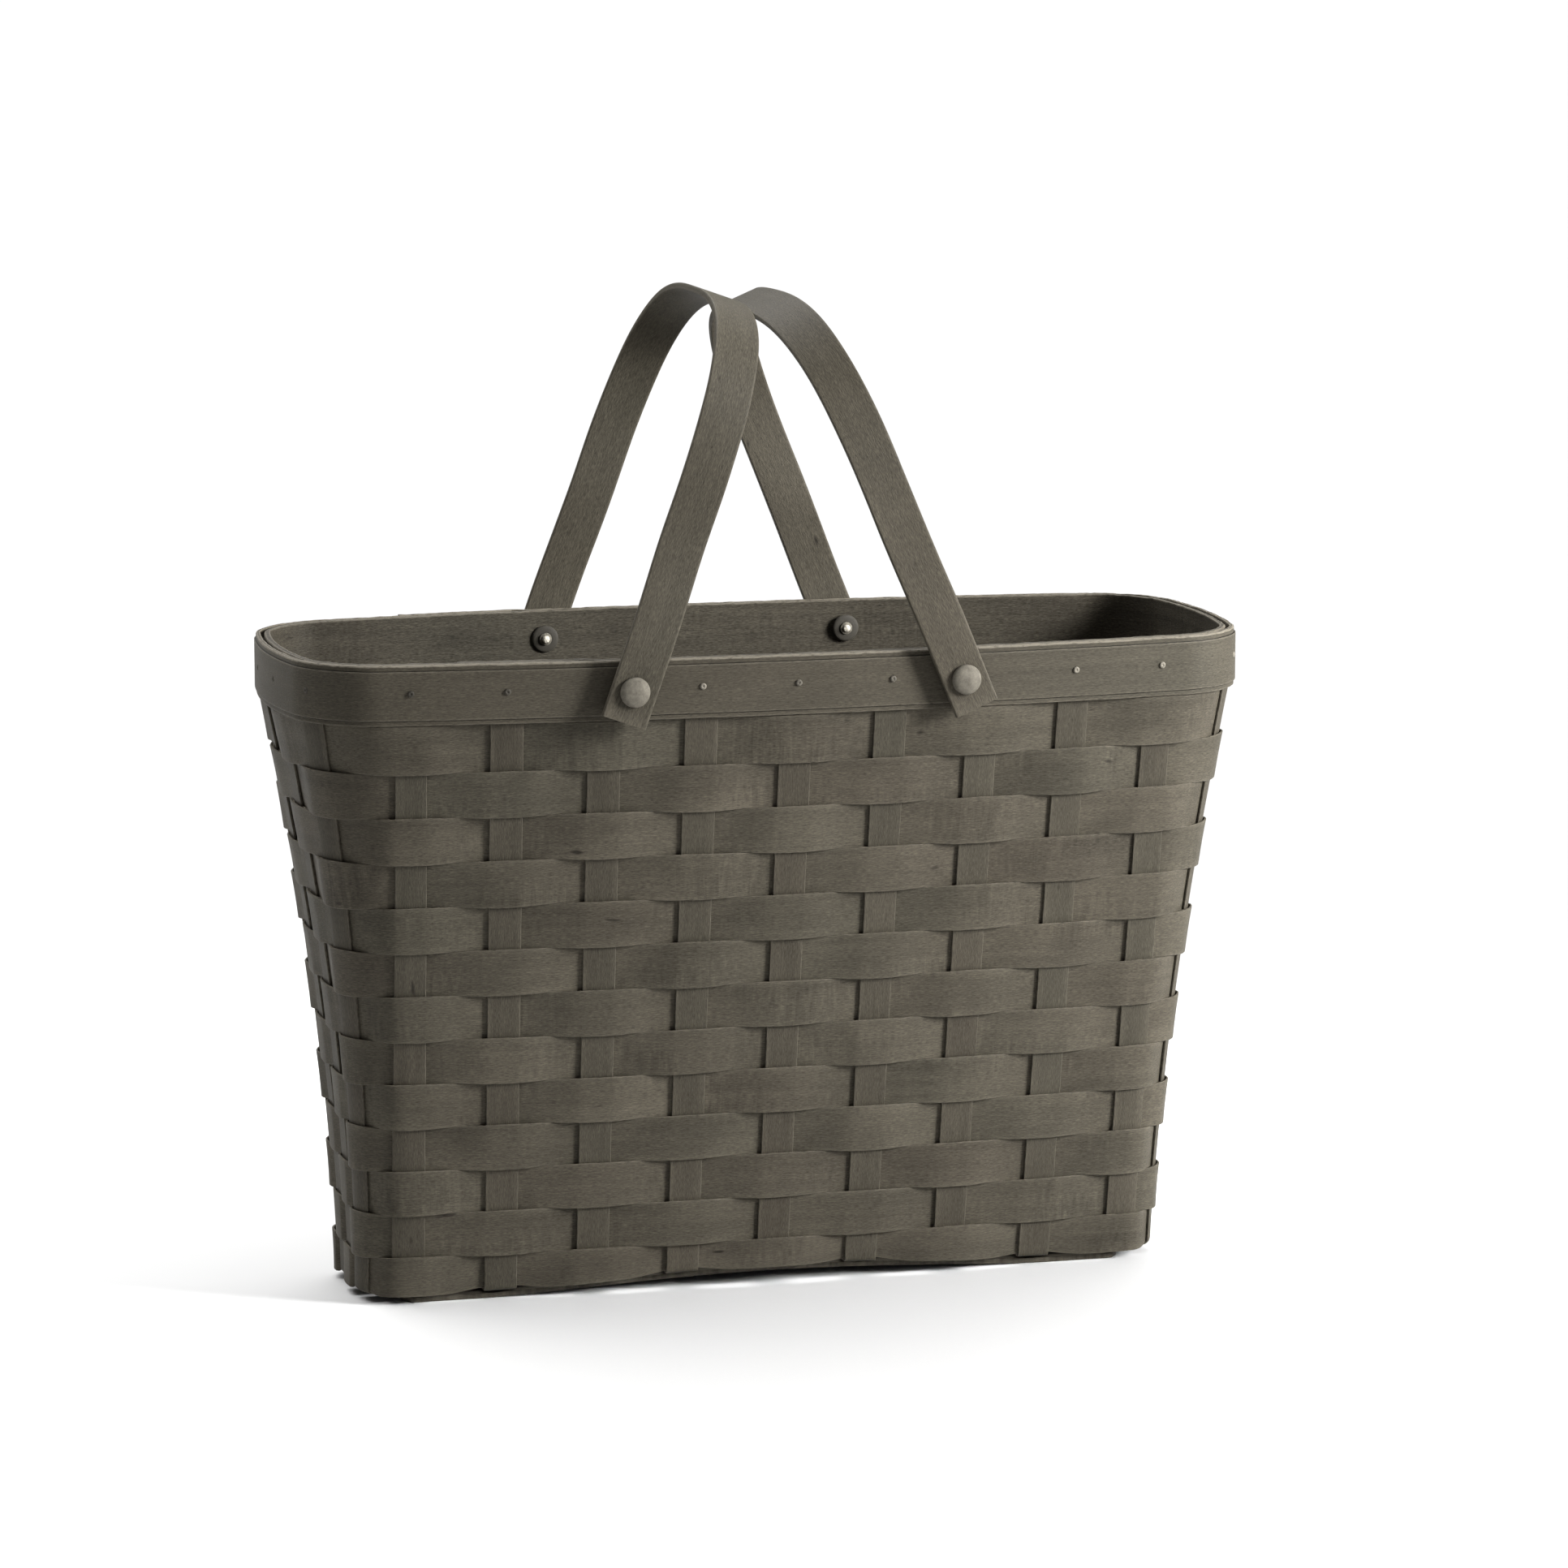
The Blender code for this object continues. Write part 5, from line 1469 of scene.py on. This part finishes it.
def make_board(basket):
    board = basket.board
    half_length, half_depth = basket.board_half_length, basket.board_half_depth
    radius = board.corner_radius

    def place(station, lane):
        along = station / BOARD_STEPS * 2 - 1
        across = lane / BOARD_LANES * 2 - 1
        x = along * half_length
        inset = max(abs(x) - (half_length - radius), 0.0)
        reach = half_depth - radius + math.sqrt(max(radius ** 2 - inset ** 2, 0.0))
        y = across * reach
        edge = 1.0 if lane in (0, BOARD_LANES) or station in (0, BOARD_STEPS) else 0.0
        y_frayed = y + board.edge_fray * wander(BOARD_FRAY_SCALE, x, y, 0.0) * edge
        z = basket.floor_rise(x) + board.thickness / 2 - MERGE
        return Vector((x, y_frayed, z)), (BOARD_CUT + x, y), edge

    piece = shaped_grid("board_bottom", BOARD_STEPS, BOARD_LANES, place)
    thicken(piece, board.thickness - 2 * MERGE, board.edge_round)
    sinks = []
    for tack in board_tack_places(basket):
        shift = tack.to_translation()
        shift.z = basket.floor_rise(shift.x)
        sinks.append(Matrix.Translation(shift))
    sink_radius = basket.metal.tack_radius + board.tack_sink
    depth = 2 * (basket.metal.tack_height + board.tack_sink)
    cutter = drill(piece, sink_radius, depth, sinks)
    settle(piece)
    bpy.data.objects.remove(cutter, do_unlink=True)
    dress(piece, board_wood(), "basket", "board_wood", "bottom_board")


# Operators

class TOTE_OT_weavers(bpy.types.Operator):
    """Make the weavers, the splints that run round the walls"""
    bl_idname = "tote.weavers"
    bl_label = "Weavers"

    def execute(self, context):
        basket = Basket(context.scene)
        for row in range(1, basket.splints.rows + 1):
            make_weaver(basket, row)
        return {"FINISHED"}


class TOTE_OT_stakes(bpy.types.Operator):
    """Make the upright splints, which run on under the basket as its floor"""
    bl_idname = "tote.stakes"
    bl_label = "Upright splints"

    def execute(self, context):
        basket = Basket(context.scene)
        for number in range(1, basket.splints.cross_stakes + 1):
            make_stake(basket, "cross", number, cross_stake_line)
        for number in range(1, basket.splints.long_stakes + 1):
            make_stake(basket, "long", number, long_stake_line)
        return {"FINISHED"}


class TOTE_OT_rim(bpy.types.Operator):
    """Make the two bent hoops of the rim"""
    bl_idname = "tote.rim"
    bl_label = "Rim hoops"

    def execute(self, context):
        basket = Basket(context.scene)
        make_hoop(basket, "rim_hoop_outer", True, "outer_hoop")
        make_hoop(basket, "rim_hoop_inner", False, "inner_hoop")
        return {"FINISHED"}


class TOTE_OT_handles(bpy.types.Operator):
    """Make the two steam-bent swing handles"""
    bl_idname = "tote.handles"
    bl_label = "Swing handles"

    def execute(self, context):
        basket = Basket(context.scene)
        for side in ("left", "right"):
            make_handle(basket, side)
        return {"FINISHED"}


class TOTE_OT_pivots(bpy.types.Operator):
    """Make the rivets that the handles turn on, and their washers"""
    bl_idname = "tote.pivots"
    bl_label = "Rivets and washers"

    def execute(self, context):
        make_pivots(Basket(context.scene))
        return {"FINISHED"}


class TOTE_OT_tacks(bpy.types.Operator):
    """Make the tacks of the rim, and finish those of the bottom board"""
    bl_idname = "tote.tacks"
    bl_label = "Tacks"

    def execute(self, context):
        make_rim_tacks(Basket(context.scene))
        for name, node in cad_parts.items():
            if name.startswith("board_tack"):
                node.data.materials.clear()
                node.data.materials.append(tack_metal("bright"))
        return {"FINISHED"}


class TOTE_OT_board(bpy.types.Operator):
    """Make the thin board under the floor"""
    bl_idname = "tote.board"
    bl_label = "Bottom board"

    def execute(self, context):
        make_board(Basket(context.scene))
        return {"FINISHED"}


class TOTE_OT_stage(bpy.types.Operator):
    """Lay the pale floor, hang the lights and set up the camera"""
    bl_idname = "tote.stage"
    bl_label = "Stage"

    def execute(self, context):
        scene = context.scene
        settings = scene.tote_stage
        lay_floor(scene)
        hang_sun(settings)
        hang_key(settings)
        scene.world = scene.world or bpy.data.worlds.new("studio")
        scene.world.use_nodes = True
        sky = scene.world.node_tree.nodes["Background"]
        sky.inputs["Color"].default_value = (1.0, 1.0, 1.0, 1.0)
        sky.inputs["Strength"].default_value = settings.world_strength
        scene.view_settings.view_transform = "Standard"
        camera = bpy.data.objects.new("camera", bpy.data.cameras.new("camera"))
        camera.data.lens = settings.camera_lens
        camera.data.clip_end = 2 * settings.floor_reach
        camera.location = settings.camera_place
        camera.rotation_euler = (settings.camera_tilt, 0, settings.camera_turn)
        scene.collection.objects.link(camera)
        scene.camera = camera
        return {"FINISHED"}


FLOOR_ROUGHNESS = 0.9


def lay_floor(scene):
    settings = scene.tote_stage
    sheet = bmesh.new()
    bmesh.ops.create_grid(sheet, x_segments=1, y_segments=1, size=settings.floor_reach)
    floor = new_piece("floor", sheet)
    material, _, shader = new_material("floor")
    shader.inputs["Base Color"].default_value = scene.tote_stain.floor
    shader.inputs["Roughness"].default_value = FLOOR_ROUGHNESS
    floor.data.materials.append(material)


def hang_light(lamp, place, aim):
    item = bpy.data.objects.new(lamp.name, lamp)
    item.location = place
    toward = Vector(aim) - Vector(place)
    item.rotation_euler = toward.to_track_quat("-Z", "Y").to_euler()
    bpy.context.scene.collection.objects.link(item)


def hang_sun(settings):
    """Even light on the floor from behind, which leaves a soft shadow in front."""
    lamp = bpy.data.lights.new("top_light", "SUN")
    lamp.energy = settings.top_strength
    lamp.angle = settings.top_spread
    hang_light(lamp, settings.top_place, (0.0, 0.0, 0.0))


def hang_key(settings):
    """A panel on the right, whose beam fades out towards the left end."""
    lamp = bpy.data.lights.new("key_light", "AREA")
    lamp.shape = "RECTANGLE"
    lamp.energy = settings.key_strength
    lamp.size = settings.key_size
    lamp.size_y = settings.key_size
    lamp.spread = settings.key_spread
    hang_light(lamp, settings.key_place, settings.key_aim)


OPERATORS = (TOTE_OT_weavers, TOTE_OT_stakes, TOTE_OT_rim, TOTE_OT_handles, TOTE_OT_pivots,
             TOTE_OT_tacks, TOTE_OT_board, TOTE_OT_stage)


class TOTE_PT_panel(bpy.types.Panel):
    """Settings and steps of the tote basket's looks"""
    bl_idname = "TOTE_PT_panel"
    bl_label = "Tote basket"
    bl_space_type = "VIEW_3D"
    bl_region_type = "UI"
    bl_category = "Basket"

    def draw(self, context):
        for operator in OPERATORS:
            self.layout.operator(operator.bl_idname)
        for name, group in SETTINGS:
            box = self.layout.box()
            box.label(text=name.replace("tote_", "").capitalize())
            for key in group.__annotations__:
                label = key.replace("_", " ").capitalize()
                box.prop(getattr(context.scene, name), key, text=label)


def register():
    for name, group in SETTINGS:
        bpy.utils.register_class(group)
        setattr(bpy.types.Scene, name, bpy.props.PointerProperty(type=group))
    for part in OPERATORS + (TOTE_PT_panel,):
        bpy.utils.register_class(part)


def unregister():
    for part in reversed(OPERATORS + (TOTE_PT_panel,)):
        bpy.utils.unregister_class(part)
    for name, group in reversed(SETTINGS):
        delattr(bpy.types.Scene, name)
        bpy.utils.unregister_class(group)


def main():
    register()
    for operator in OPERATORS:
        family, action = operator.bl_idname.split(".")
        getattr(getattr(bpy.ops, family), action)()


if __name__ == "__main__":
    main()
